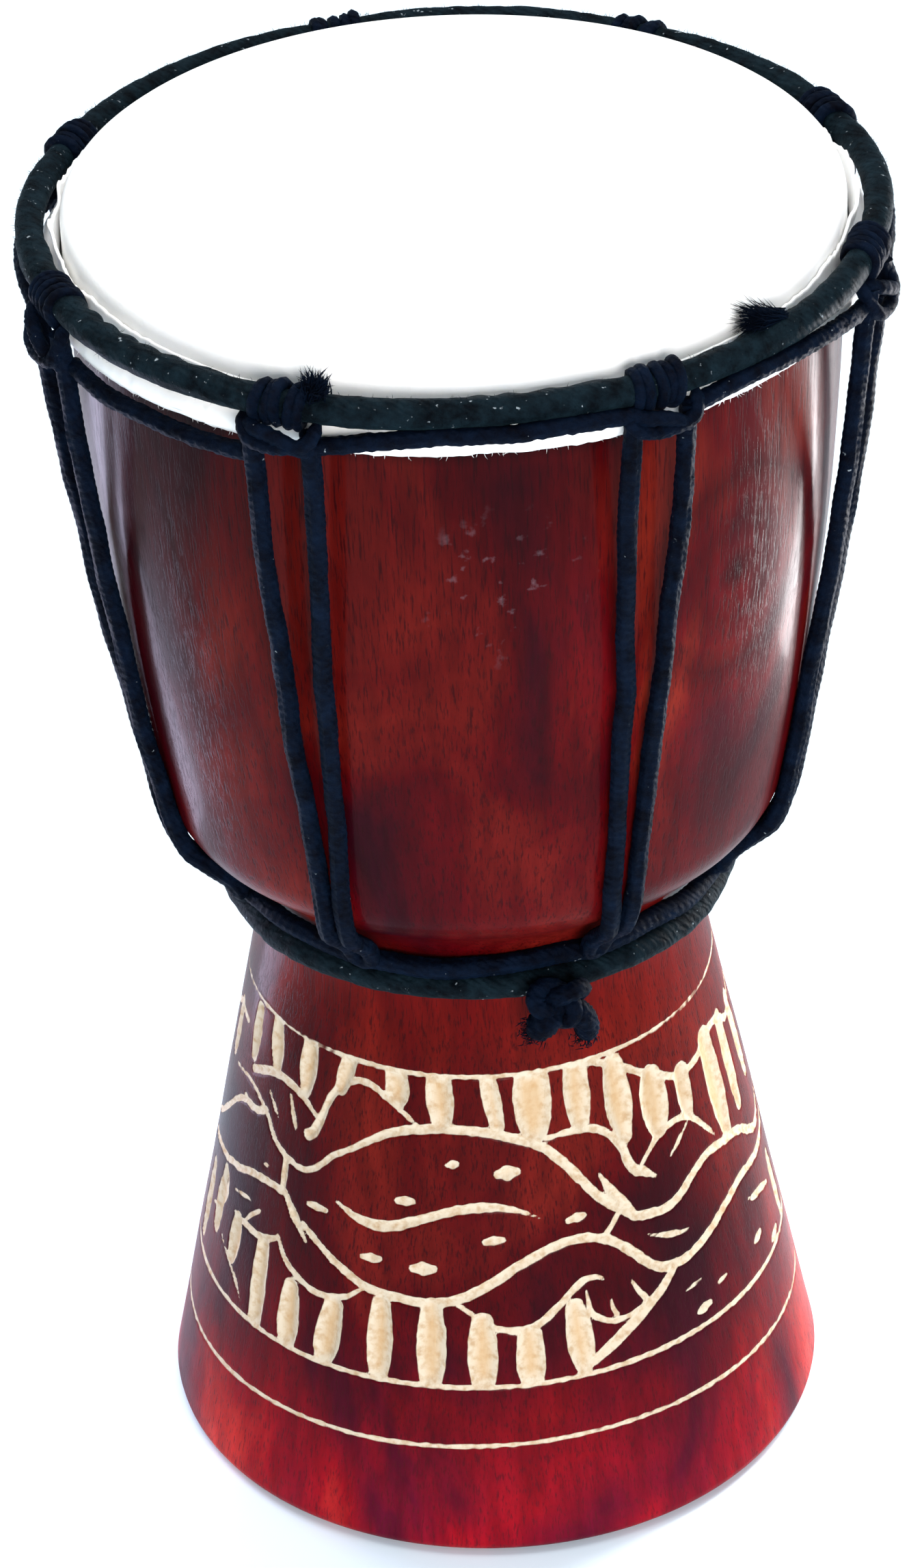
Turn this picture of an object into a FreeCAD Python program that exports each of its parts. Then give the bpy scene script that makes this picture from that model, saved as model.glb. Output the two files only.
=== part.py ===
"""Small rope-tuned djembe: a goblet-shaped wooden shell, a goatskin head and a black cord lacing.

The frame: millimetres, +Z up along the drum's axis, origin at the centre of the foot's rim, the
player's side towards -Y. Azimuths are counted from -Y towards +X, in degrees.
"""

import math
import os

import FreeCAD, Part
import Sketcher

Vector = FreeCAD.Vector

CELLS = [
    # turned shell, outside: radius and height of each corner, and the radius of the arc that ends there
    ("RimOutR", 52.4, "outside radius just under the bearing edge"),
    ("RimOutZ", 197.2, "height where the bearing edge's round begins"),
    ("BellyR", 48.9, "outside radius at mid bowl"),
    ("BellyZ", 136.0, "height of mid bowl"),
    ("BellyArc", 355.0, "side of the bowl, above mid bowl"),
    ("HipR", 45.0, "outside radius where the bowl turns under"),
    ("HipZ", 110.5, "height of that turn"),
    ("HipArc", 900.0, "side of the bowl, below mid bowl"),
    ("UnderR", 40.3, "outside radius where the turn ends"),
    ("UnderZ", 103.3, "height where the turn ends"),
    ("UnderArc", 10.6, "the turn under the bowl"),
    ("NeckR", 32.0, "outside radius of the neck"),
    ("NeckZ", 88.0, "height of the neck"),
    ("NeckArc", 18.2, "hollow between bowl and neck"),
    ("FlareR", 32.5, "outside radius at the start of the foot's flare"),
    ("FlareZ", 81.9, "height at the start of the flare"),
    ("FlareArc", 36.0, "hollow between neck and foot"),
    ("FootR", 48.7, "outside radius of the foot above its rounded edge"),
    ("FootZ", 2.2, "height of that edge"),
    ("FootArc", 1590.0, "flare of the foot"),
    ("FootEdgeR", 46.9, "radius where the rounded edge meets the floor"),
    ("FootEdgeArc", 2.3, "rounded lower edge"),
    # turned shell, inside
    ("MouthR", 42.8, "inside radius at the foot's rim"),
    ("ThroatLowR", 25.2, "inside radius where the foot's hollow ends"),
    ("ThroatLowZ", 80.0, "height of that end"),
    ("ThroatR", 24.0, "radius of the throat"),
    ("ThroatMidZ", 86.0, "lower end of the straight throat"),
    ("ThroatTopZ", 93.0, "upper end of the straight throat"),
    ("BowlLowR", 40.6, "inside radius at the bottom of the bowl"),
    ("BowlLowZ", 116.0, "height there"),
    ("BowlLowArc", 90.0, "dish of the bowl's bottom"),
    ("BowlMidR", 46.2, "inside radius at mid bowl"),
    ("BowlMidZ", 160.0, "height there"),
    ("BowlMidArc", 250.0, "inside of the bowl's side"),
    ("BevelR", 46.6, "inside radius under the bearing edge's bevel"),
    ("BevelZ", 194.0, "height there"),
    ("CrownInR", 49.6, "inner end of the bearing edge's round"),
    ("CrownInZ", 198.9, "height there"),
    ("CrownArc", 1.9, "round of the bearing edge"),
    # scribed lines round the foot
    ("LineWide", 0.55, "half the width of a scribed line"),
    ("LineDeep", 0.45, "depth of a scribed line"),
    ("LineReach", 0.4, "how far a line's cutter stands proud of the wood"),
    ("LineTopZ", 75.2, "height of the upper line"),
    ("LineLowZ", 26.9, "height of the line under the ornament"),
    ("LineBaseZ", 17.4, "height of the lowest line"),
    # goatskin
    ("SkinTopZ", 199.7, "height of the playing surface"),
    ("SkinThick", 0.5, "thickness of the skin"),
    ("SkinEdgeR", 50.5, "centre radius of the bend over the bearing edge"),
    ("SkinSideR", 53.05, "outside radius of the skin down the shell's side"),
    ("SkinBend", 2.55, "outside radius of the bend over the bearing edge"),
    ("HoopR", 54.65, "radius of the flesh hoop"),
    ("HoopZ", 190.3, "height of the flesh hoop"),
    ("HoopWire", 1.3, "half the thickness of the flesh hoop's wire"),
    ("RollGap", 0.15, "gap between that wire and the skin rolled round it"),
    ("RollOut", 1.95, "outside radius of the roll"),
    ("EntryRise", 0.3, "height above the hoop where the skin's side turns into the roll"),
    ("EntryArc", 1.6, "inside of the roll, from the skin's side to under the wire"),
    ("RollBackR", 1.85, "how far inside the hoop the roll's outside begins"),
    ("RollBackZ", 0.6, "how far below the hoop it begins"),
    ("TailInRise", 2.35, "height above the hoop where the tail's inner foot stands"),
    ("TailInArc", 0.95, "bend of that foot"),
    ("TailOutRise", 2.9, "height above the hoop where the tail's outer foot stands"),
    ("TailOutArc", 1.3, "bend of that foot"),
    ("TailR", 53.55, "middle radius of the trimmed tail of the skin"),
    ("TailZ", 197.2, "height of the trimmed tail"),
    ("TailHalf", 0.2, "half the thickness of the tail, shaved for the fold"),
    # rings
    ("CrownRingR", 57.3, "radius of the crown ring"),
    ("CrownRingZ", 195.8, "height of the crown ring"),
    ("RingTube", 2.0, "half the thickness of the cloth-bound crown ring"),
    ("RingWire", 1.3, "half the thickness of either ring's steel wire"),
    ("WaistRingR", 35.5, "radius of the waist ring"),
    ("WaistRingZ", 92.2, "height of the waist ring"),
    ("WaistTube", 1.9, "half the thickness of the cloth-bound waist ring"),
    ("ClothGap", 0.05, "gap between a ring's wire and its cloth"),
    ("SeamGap", 0.3, "gap between the cloth's edges along each ring's inner side"),
    ("SeamDeep", 0.3, "how far the seam's cutter runs into the room for the wire"),
    ("SeamProud", 0.5, "how far that cutter stands proud of the cloth"),
    # cord
    ("CordHalf", 1.25, "half the thickness of the cord"),
    ("WaistCordR", 35.35, "radius of the cord that lies on the waist ring"),
    ("WaistCordZ", 95.7, "height of that cord"),
    ("TurnHalf", 0.75, "half the thickness of the cord pressed flat round the crown ring"),
    ("TurnRadius", 2.8, "radius of one turn round the crown ring"),
    ("TurnStep", 1.9, "step from one turn to the next along the ring"),
    ("StrandTopR", 58.9, "radius where a strand leaves its turns"),
    ("StrandTopZ", 191.0, "height where a strand leaves its turns"),
    ("StrandHipR", 45.5, "corner of a strand at the bowl's turn"),
    ("StrandHipZ", 105.1, "height of that corner"),
    ("StrandHipArc", 11.5, "bend of a strand round the bowl's turn"),
    ("StrandLowR", 38.3, "corner of a strand over the waist cord"),
    ("StrandLowZ", 100.4, "height of that corner"),
    ("StrandLowArc", 5.0, "bend of a strand over the waist cord"),
    ("StrandEndR", 38.8, "radius of the turn at the bottom of a pair of strands"),
    ("StrandEndZ", 93.2, "height of that turn's ends"),
    ("StrandApart", 4.1, "half the angle between a pair of strands at the top, degrees"),
    ("HipApart", 1.6, "half the distance between a pair of strands at the bowl's turn"),
    ("LowApart", 1.32, "half that distance at the waist"),
    ("SpanR", 58.05, "radius of the cord that runs under the crown ring"),
    ("SpanZ", 192.6, "height of that cord"),
    ("SpanShy", 5.6, "angle from a station's middle to the end of a span, degrees"),
    ("KnotOpen", 0.35, "how far the knot's turns stand off the cord inside them"),
    ("KnotProud", 4.9, "distance of the knot's middle outside the waist cord"),
    ("KnotDrop", 4.6, "distance of the knot's middle below the waist cord"),
]

# azimuth of each lacing station at the crown ring, and of the same pair's turn at the waist ring
STATIONS = [
    (-68.0, -67.0),
    (-23.8, -26.5),
    (25.5, 24.7),
    (72.0, 70.5),
    (114.0, 115.0),
    (151.0, 150.0),
    (196.0, 197.5),
    (246.0, 245.0),
]
TURNS_PER_STATION = 5
# share of the way from the waist turn's azimuth to the top one's, where the strands pass the bowl's turn
HIP_SHARE = 0.15
KNOT_AZIMUTH = 12.5
KNOT_TILT = 35

# (radius, azimuth, height) of both ends of each short cut end; those at the waist are counted from
# the middle of the knot
WAIST_ENDS = {
    "waist_end_left": [(-0.6, -2.2, -2.9), (-1.4, -5.5, -6.9)],
    "waist_end_right": [(-0.6, 2.2, -2.9), (-1.6, 3.0, -8.4)],
}
CROWN_ENDS = {
    "crown_end_front": [(57.0, -17.2, 199.4), (56.4, -17.6, 202.4)],
    "crown_end_right": [(56.2, 50.0, 199.3), (50.8, 43.5, 201.2)],
}

doc = FreeCAD.newDocument("djembe")
sheet = doc.addObject("Spreadsheet::Sheet", "Sizes")
sizes = {}
for row, (alias, number, meaning) in enumerate(CELLS, start=1):
    sheet.set(f"A{row}", meaning)
    sheet.set(f"B{row}", str(number))
    sheet.setAlias(f"B{row}", alias)
    sizes[alias] = number
doc.recompute()

nodes = []


def finished(piece, label):
    """Names a finished sub-part and keeps it for the checks and the export."""
    piece.Label = label
    nodes.append(piece)
    return piece


def around(radius, azimuth, height):
    """The point at a radius, an azimuth in degrees and a height."""
    turn = math.radians(azimuth)
    return Vector(radius * math.sin(turn), -radius * math.cos(turn), height)


# ---------------------------------------------------------------- turned pieces


def plane_of(body, role):
    """One of the body's own origin planes."""
    for feature in body.Origin.OriginFeatures:
        if feature.Role == role:
            return feature
    raise ValueError(f"the body has no {role}")


def arc_between(start, end, radius, left):
    """The shorter arc of that radius from start to end, bulging left or right of the way."""
    middle = (start + end) * 0.5
    chord = end - start
    half = chord.Length / 2
    side = Vector(-chord.y, chord.x, 0).normalize()
    if not left:
        side = side * -1
    rise = radius - math.sqrt(radius * radius - half * half)
    return Part.Arc(start, middle + side * rise, end)


def outline(body, name, corners):
    """A closed sketch on the XZ plane from corners (radius, height, arc, side).

    Each radius and height is an expression over the sheet's cells. arc is the expression of the
    radius of the arc that ends at that corner, or None for a straight line, and side is the side
    the arc bulges to, seen along the outline: "left" or "right".
    """
    sketch = body.newObject("Sketcher::SketchObject", name)
    sketch.AttachmentSupport = [(plane_of(body, "XZ_Plane"), "")]
    sketch.MapMode = "FlatFace"
    points = []
    for radius, height, _, _ in corners:
        points.append(Vector(value_of(radius), value_of(height), 0))
    for index, (_, _, arc, side) in enumerate(corners):
        start = points[index - 1]
        end = points[index]
        if arc is None:
            sketch.addGeometry(Part.LineSegment(start, end))
        else:
            sketch.addGeometry(arc_between(start, end, value_of(arc), side == "left"))
    ends = [end_positions(sketch, index, points) for index in range(len(corners))]
    for index, (radius, height, arc, _) in enumerate(corners):
        following = (index + 1) % len(corners)
        here = ends[index][1]
        there = ends[following][0]
        sketch.addConstraint(Sketcher.Constraint("Coincident", index, here, following, there))
        place = points[index]
        across = sketch.addConstraint(Sketcher.Constraint("DistanceX", -1, 1, index, here, place.x))
        sketch.setExpression(f"Constraints[{across}]", bound(radius))
        up = sketch.addConstraint(Sketcher.Constraint("DistanceY", -1, 1, index, here, place.y))
        sketch.setExpression(f"Constraints[{up}]", bound(height))
        if arc is not None:
            bend = sketch.addConstraint(Sketcher.Constraint("Radius", index, value_of(arc)))
            sketch.setExpression(f"Constraints[{bend}]", bound(arc))
    return sketch


def end_positions(sketch, index, points):
    """Which of a sketch edge's two ends is its first corner and which its last."""
    start = points[index - 1]
    first = sketch.getPoint(index, 1)
    if (first - start).Length < (sketch.getPoint(index, 2) - start).Length:
        return 1, 2
    return 2, 1


def value_of(expression):
    """The value of a sum such as "HoopR + RollOut", whose cells, numbers and signs are spaced."""
    total = 0.0
    sign = 1.0
    for word in expression.split():
        if word in "+-":
            sign = 1.0 if word == "+" else -1.0
        elif word in sizes:
            total += sign * sizes[word]
        else:
            total += sign * float(word)
    return total


def bound(expression):
    """The same sum with each cell's name as the sheet knows it."""
    return " ".join(f"Sizes.{word}" if word in sizes else word for word in expression.split())


def turned(name, corners):
    """A PartDesign body: the outline turned once about the drum's axis."""
    body = doc.addObject("PartDesign::Body", name)
    sketch = outline(body, f"{name}_outline", corners)
    spin = body.newObject("PartDesign::Revolution", f"{name}_turned")
    spin.Profile = sketch
    spin.ReferenceAxis = (sketch, ["V_Axis"])
    spin.Angle = 360.0
    return body


def scribe(body, name, height):
    """Cuts a V-shaped line round the foot at that height."""
    radius = foot_radius_at(sizes[height])
    reach = f"{radius:.3f} + LineReach"
    root = f"{radius:.3f} - LineDeep"
    sketch = outline(
        body,
        f"{name}_outline",
        [
            (reach, f"{height} + LineWide", None, None),
            (root, height, None, None),
            (reach, f"{height} - LineWide", None, None),
        ],
    )
    groove = body.newObject("PartDesign::Groove", name)
    groove.Profile = sketch
    groove.ReferenceAxis = (sketch, ["V_Axis"])
    groove.Angle = 360.0
    return groove


def foot_radius_at(height):
    """The foot's outside radius at a height, on the flare's arc."""
    start = Vector(sizes["FlareR"], sizes["FlareZ"], 0)
    end = Vector(sizes["FootR"], sizes["FootZ"], 0)
    arc = arc_between(start, end, sizes["FootArc"], False).toShape()
    level = Part.LineSegment(Vector(0, height, 0), Vector(2 * end.x, height, 0)).toShape()
    crossing = arc.distToShape(level)[1][0][0]
    return crossing.x


def wooden_shell():
    """The goblet: bowl, neck and flared foot, hollow right through, with three scribed lines."""
    body = turned(
        "wooden_shell",
        [
            ("RimOutR", "RimOutZ", "CrownArc", "left"),
            ("BellyR", "BellyZ", "BellyArc", "left"),
            ("HipR", "HipZ", "HipArc", "left"),
            ("UnderR", "UnderZ", "UnderArc", "left"),
            ("NeckR", "NeckZ", "NeckArc", "right"),
            ("FlareR", "FlareZ", "FlareArc", "right"),
            ("FootR", "FootZ", "FootArc", "right"),
            ("FootEdgeR", "0", "FootEdgeArc", "left"),
            ("MouthR", "0", None, None),
            ("ThroatLowR", "ThroatLowZ", None, None),
            ("ThroatR", "ThroatMidZ", None, None),
            ("ThroatR", "ThroatTopZ", None, None),
            ("BowlLowR", "BowlLowZ", "BowlLowArc", "right"),
            ("BowlMidR", "BowlMidZ", "BowlMidArc", "right"),
            ("BevelR", "BevelZ", None, None),
            ("CrownInR", "CrownInZ", None, None),
        ],
    )
    for name, height in (
        ("upper_line", "LineTopZ"),
        ("ornament_line", "LineLowZ"),
        ("base_line", "LineBaseZ"),
    ):
        doc.recompute()
        scribe(body, name, height)
    finished(body, "wooden_shell")


def goatskin_head():
    """The skin: playing surface, side, roll round the flesh hoop and the trimmed tail."""
    body = turned(
        "goatskin_head",
        [
            ("0", "SkinTopZ - SkinThick", None, None),
            ("0", "SkinTopZ", None, None),
            ("SkinEdgeR", "SkinTopZ", None, None),
            ("SkinSideR", "SkinTopZ - SkinBend", "SkinBend", "left"),
            ("SkinSideR", "HoopZ + EntryRise", None, None),
            ("HoopR", "HoopZ - HoopWire - RollGap", "EntryArc", "right"),
            ("HoopR + HoopWire + RollGap", "HoopZ", "HoopWire + RollGap", "right"),
            ("HoopR", "HoopZ + HoopWire + RollGap", "HoopWire + RollGap", "right"),
            ("TailR + TailHalf", "HoopZ + TailInRise", "TailInArc", "left"),
            ("TailR - TailHalf", "HoopZ + TailInRise", None, None),
            ("TailR - TailHalf", "TailZ", None, None),
            ("TailR + TailHalf", "TailZ", None, None),
            ("TailR + TailHalf", "HoopZ + TailOutRise", None, None),
            ("HoopR", "HoopZ + RollOut", "TailOutArc", "right"),
            ("HoopR + RollOut", "HoopZ", "RollOut", "left"),
            ("HoopR", "HoopZ - RollOut", "RollOut", "left"),
            ("HoopR - RollBackR", "HoopZ - RollBackZ", "RollOut", "left"),
            ("SkinSideR - SkinThick", "HoopZ + EntryRise", None, None),
            ("SkinSideR - SkinThick", "SkinTopZ - SkinBend", None, None),
            ("SkinEdgeR", "SkinTopZ - SkinThick", "SkinBend - SkinThick", "right"),
        ],
    )
    finished(body, "goatskin_head")


# ---------------------------------------------------------------- rings


def ring(name, radius, tube, height):
    """A torus about the drum's axis, with its sizes from the sheet."""
    torus = doc.addObject("Part::Torus", name)
    torus.setExpression("Radius1", bound(radius))
    torus.setExpression("Radius2", bound(tube))
    torus.setExpression("Placement.Base.z", bound(height))
    return torus


def cloth_binding(name, radius, tube, height):
    """The cloth bound round a wire ring, open by a narrow seam along the ring's inner side."""
    cover = ring(f"{name}_cover", radius, tube, height)
    room = ring(f"{name}_room", radius, "RingWire + ClothGap", height)
    outer = doc.addObject("Part::Cylinder", f"{name}_seam_outer")
    outer.setExpression("Radius", bound(f"{radius} - RingWire + SeamDeep"))
    inner = doc.addObject("Part::Cylinder", f"{name}_seam_inner")
    inner.setExpression("Radius", bound(f"{radius} - {tube} - SeamProud"))
    for disc in (outer, inner):
        disc.setExpression("Height", bound("SeamGap"))
        disc.setExpression("Placement.Base.z", f"{bound(height)} - Sizes.SeamGap / 2")
    seam = doc.addObject("Part::Cut", f"{name}_seam")
    seam.Base = outer
    seam.Tool = inner
    hollow = doc.addObject("Part::Cut", f"{name}_hollow")
    hollow.Base = cover
    hollow.Tool = room
    binding = doc.addObject("Part::Cut", name)
    binding.Base = hollow
    binding.Tool = seam
    return binding


def rings():
    """Flesh hoop, crown ring and waist ring, each bound ring with its wire."""
    finished(ring("flesh_hoop", "HoopR", "HoopWire", "HoopZ"), "flesh_hoop")
    finished(ring("crown_ring_wire", "CrownRingR", "RingWire", "CrownRingZ"), "crown_ring_wire")
    finished(ring("waist_ring_wire", "WaistRingR", "RingWire", "WaistRingZ"), "waist_ring_wire")
    crown = cloth_binding("crown_ring_cloth", "CrownRingR", "RingTube", "CrownRingZ")
    finished(crown, "crown_ring_cloth")
    waist = cloth_binding("waist_ring_cloth", "WaistRingR", "WaistTube", "WaistRingZ")
    finished(waist, "waist_ring_cloth")


# ---------------------------------------------------------------- cord


def rounded(points, bends):
    """A wire of straight runs through the points, with an arc of each given radius at each corner."""
    edges = []
    here = points[0]
    for index, bend in enumerate(bends, start=1):
        corner = points[index]
        back = (points[index - 1] - corner).normalize()
        ahead = (points[index + 1] - corner).normalize()
        half = back.getAngle(ahead) / 2
        reach = bend / math.tan(half)
        inward = (back + ahead).normalize()
        entry = corner + back * reach
        leave = corner + ahead * reach
        crest = corner + inward * (bend / math.sin(half) - bend)
        edges.append(Part.LineSegment(here, entry).toShape())
        edges.append(Part.Arc(entry, crest, leave).toShape())
        here = leave
    edges.append(Part.LineSegment(here, points[-1]).toShape())
    return edges


def tube(name, edges, half="CordHalf"):
    """A round cord along the edges: a circle from the sheet swept along one wire."""
    spine = doc.addObject("Part::Feature", f"{name}_line")
    spine.Shape = Part.Wire(edges)
    first = edges[0]
    start = first.valueAt(first.FirstParameter)
    heading = first.tangentAt(first.FirstParameter)
    section = doc.addObject("Part::Circle", f"{name}_section")
    section.setExpression("Radius", bound(half))
    section.Placement = FreeCAD.Placement(start, FreeCAD.Rotation(Vector(0, 0, 1), heading))
    cord = doc.addObject("Part::Sweep", name)
    cord.Sections = [section]
    cord.Spine = (spine, [f"Edge{number + 1}" for number in range(len(edges))])
    cord.Solid = True
    cord.Frenet = False
    cord.Transition = "Right corner"
    return cord, sum(edge.Length for edge in edges)


def lacing(number, top, low):
    """One pair of strands: down from the crown ring, a turn at the waist ring, and up again."""
    apart = sizes["StrandApart"]
    hip_apart = math.degrees(sizes["HipApart"] / sizes["StrandHipR"])
    end_apart = math.degrees(sizes["LowApart"] / sizes["StrandEndR"])
    low_apart = math.degrees(sizes["LowApart"] / sizes["StrandLowR"])
    sides = []
    for side in (-1, 1):
        hip = low + HIP_SHARE * (top - low) + side * hip_apart
        run = [
            around(sizes["StrandTopR"], top + side * apart, sizes["StrandTopZ"]),
            around(sizes["StrandHipR"], hip, sizes["StrandHipZ"]),
            around(sizes["StrandLowR"], low + side * low_apart, sizes["StrandLowZ"]),
            around(sizes["StrandEndR"], low + side * end_apart, sizes["StrandEndZ"]),
        ]
        sides.append(run)
    bends = [sizes["StrandHipArc"], sizes["StrandLowArc"]]
    down = rounded(sides[0], bends)
    up = rounded(sides[1][::-1], bends[::-1])
    left = sides[0][-1]
    right = sides[1][-1]
    drop = (left - sides[0][-2]).normalize() * ((right - left).Length / 2)
    turn = Part.Arc(left, (left + right) * 0.5 + drop, right).toShape()
    name = f"lacing_{number}"
    cord, length = tube(name, down + [turn] + up)
    finished(cord, name)
    return cord, length


def hitch(number, top):
    """The turns of cord round the crown ring at one station, side by side along the ring."""
    turns = []
    step = math.degrees(sizes["TurnStep"] / sizes["CrownRingR"])
    for index in range(TURNS_PER_STATION):
        azimuth = top + (index - (TURNS_PER_STATION - 1) / 2) * step
        torus = doc.addObject("Part::Torus", f"crown_hitch_{number}_turn_{index + 1}")
        torus.setExpression("Radius1", bound("TurnRadius"))
        torus.setExpression("Radius2", bound("TurnHalf"))
        centre = around(sizes["CrownRingR"], azimuth, sizes["CrownRingZ"])
        along = around(1, azimuth + 90, 0)
        torus.Placement = FreeCAD.Placement(centre, FreeCAD.Rotation(Vector(0, 0, 1), along))
        turns.append(torus)
    coil = doc.addObject("Part::Compound", f"crown_hitch_{number}")
    coil.Links = turns
    finished(coil, f"crown_hitch_{number}")


def span(number, start, end):
    """The cord that runs under the crown ring from one station to the next, on one arc."""
    radius = sizes["SpanR"]
    height = sizes["SpanZ"]
    first = start + sizes["SpanShy"]
    last = end - sizes["SpanShy"]
    ends = [around(radius, turn, height) for turn in (first, (first + last) / 2, last)]
    cord, length = tube(f"ring_span_{number}", [Part.Arc(*ends).toShape()])
    finished(cord, f"ring_span_{number}")
    return cord, length


def knot_middle():
    """Radius, azimuth and height of the middle of the waist knot."""
    radius = sizes["WaistCordR"] + sizes["KnotProud"]
    return radius, KNOT_AZIMUTH, sizes["WaistCordZ"] - sizes["KnotDrop"]


def waist_knot():
    """The knot of the waist cord: two crossed turns round the cord, in front of the ring."""
    place = around(*knot_middle())
    out = around(1, KNOT_AZIMUTH, 0)
    along = around(1, KNOT_AZIMUTH + 90, 0)
    crossed = []
    for index, tilt in enumerate((KNOT_TILT, -KNOT_TILT)):
        torus = doc.addObject("Part::Torus", f"waist_knot_turn_{index + 1}")
        torus.setExpression("Radius1", bound("CordHalf + KnotOpen"))
        torus.setExpression("Radius2", bound("CordHalf"))
        lean = FreeCAD.Rotation(out, tilt).multVec(along)
        torus.Placement = FreeCAD.Placement(place, FreeCAD.Rotation(Vector(0, 0, 1), lean))
        crossed.append(torus)
    knot = doc.addObject("Part::MultiFuse", "waist_knot")
    knot.Shapes = crossed
    finished(knot, "waist_knot")


def cord_ends():
    """The short cut ends: two below the waist knot, and one at each knot on the crown ring."""
    middle = knot_middle()
    ends = dict(CROWN_ENDS)
    for name, places in WAIST_ENDS.items():
        ends[name] = [[a + b for a, b in zip(middle, place)] for place in places]
    for name, places in ends.items():
        points = [around(*place) for place in places]
        cord, _ = tube(name, [Part.LineSegment(*points).toShape()])
        finished(cord, name)


def lacing_cords():
    """Every stretch of cord, with the swept ones' volumes compared with section times length."""
    swept = []
    finished(ring("waist_cord", "WaistCordR", "CordHalf", "WaistCordZ"), "waist_cord")
    for number, (top, low) in enumerate(STATIONS, start=1):
        hitch(number, top)
        swept.append(lacing(number, top, low))
        following = STATIONS[number % len(STATIONS)][0]
        if following < top:
            following += 360
        swept.append(span(number, top, following))
    waist_knot()
    cord_ends()
    return swept


def check_document():
    """Stops if any object failed or any sub-part is empty or broken."""
    for piece in doc.Objects:
        state = piece.State
        if "Invalid" in state or "Error" in state:
            raise RuntimeError(f"{piece.Name} failed: {state}")
    for piece in nodes:
        if piece.Shape.isNull() or not piece.Shape.isValid():
            raise RuntimeError(f"{piece.Label} has no valid shape")


def check_volumes(swept):
    """Compares each swept cord's volume with its section times its length."""
    area = math.pi * sizes["CordHalf"] ** 2
    for cord, length in swept:
        share = cord.Shape.Volume / (area * length)
        print(f"{cord.Label}: {length:.1f} mm long, volume {share:.4f} of section times length")
        if abs(share - 1) > 0.01:
            raise RuntimeError(f"{cord.Label} has the wrong volume")


wooden_shell()
goatskin_head()
rings()
swept_cords = lacing_cords()
doc.recompute()
check_document()
check_volumes(swept_cords)

os.makedirs("parts", exist_ok=True)
for piece in nodes:
    piece.Shape.exportStep(f"parts/{piece.Label}.step")
    print(f"{piece.Label}: {piece.Shape.Volume:.0f} cubic millimetres")
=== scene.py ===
"""A small goblet drum: turned and carved wooden shell, goatskin head, two bound rings and the lacing.

Lengths are in millimetres and azimuths in degrees until place() turns them into metres. Azimuth 0
is the player's side, -Y, and azimuth 90 is +X.
"""

import math

import bpy
import numpy as np
from mathutils import Matrix


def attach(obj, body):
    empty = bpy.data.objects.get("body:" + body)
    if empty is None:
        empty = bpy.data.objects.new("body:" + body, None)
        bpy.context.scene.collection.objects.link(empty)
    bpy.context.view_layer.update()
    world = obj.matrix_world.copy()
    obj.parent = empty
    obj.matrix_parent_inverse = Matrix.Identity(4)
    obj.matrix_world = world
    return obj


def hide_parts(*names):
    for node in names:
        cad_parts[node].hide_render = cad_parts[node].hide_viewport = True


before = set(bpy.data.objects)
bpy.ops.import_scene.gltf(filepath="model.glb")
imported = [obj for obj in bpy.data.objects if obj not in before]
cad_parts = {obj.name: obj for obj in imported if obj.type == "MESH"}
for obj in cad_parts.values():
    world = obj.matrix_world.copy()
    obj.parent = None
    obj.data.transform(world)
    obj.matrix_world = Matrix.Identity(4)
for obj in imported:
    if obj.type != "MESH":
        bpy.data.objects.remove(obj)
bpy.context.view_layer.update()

CROWN_RADIUS = 57.3
CROWN_HEIGHT = 195.8
CROWN_HALF = 2.0
WAIST_RADIUS = 35.5
WAIST_HEIGHT = 92.2
WAIST_HALF = 1.9
# half the cord's thickness: down the bowl, in the hitches' turns, in their loops, in the runs
# between them, round the neck and in the knot
CORD_HALF = 1.25
TURN_HALF = 0.76
LOOP_HALF = 0.98
RUN_HALF = 1.18
NECK_CORD_HALF = 1.4
KNOT_HALF = 1.35
# the points of a cord's line are this far apart
CORD_STEP = 0.3
NECK_CORD_RADIUS = 35.35
KNOT_AZIMUTH = 15.0
# azimuth of each pair of strands at the crown ring and at the waist ring
STATIONS = [
    (-68, -67), (-23.8, -26.5), (25.5, 24.7), (72, 70.5),
    (114, 115), (151, 150), (196, 197.5), (246, 245),
]
# the pairs that lean aside on the bowl, by number, with the lean in degrees
LEANING_PAIRS = {1: -4.0, 4: 3.0}
# the hitches whose crossing loop hangs low, by number, and how far each kind hangs
SLACK_HITCHES = (1, 4)
SLACK_DROP = 3.2
TIGHT_DROP = 0.6


# ---------------------------------------------------------------- camera

def camera():
    """A long lens above the player's side, leaning down by 33 degrees and rolled a little."""
    down = math.radians(32.94)
    roll = math.radians(-2.313)
    right = np.array([1.0, 0.0, 0.0])
    up = np.array([0.0, math.sin(down), math.cos(down)])
    back = np.array([0.0, -math.cos(down), math.sin(down)])
    across = math.cos(roll) * right + math.sin(roll) * up
    above = -math.sin(roll) * right + math.cos(roll) * up
    data = bpy.data.cameras.new("camera")
    data.sensor_width = 36
    data.sensor_fit = "HORIZONTAL"
    data.lens = 230.08
    data.clip_start = 0.01
    data.clip_end = 20
    holder = bpy.data.objects.new("camera", data)
    turned = Matrix(np.column_stack([across, above, back]).tolist()).to_4x4()
    turned.translation = (-0.0030, -0.7003, 0.5566)
    holder.matrix_world = turned
    bpy.context.scene.collection.objects.link(holder)
    bpy.context.scene.camera = holder


# ---------------------------------------------------------------- makers

def place(radius, azimuth, height):
    """Points in metres: radius times the sine and minus the cosine of the azimuth, and the height."""
    turn = np.radians(azimuth)
    parts = np.broadcast_arrays(radius * np.sin(turn), -radius * np.cos(turn), height)
    return np.stack(parts, axis=-1) * 0.001


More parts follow.
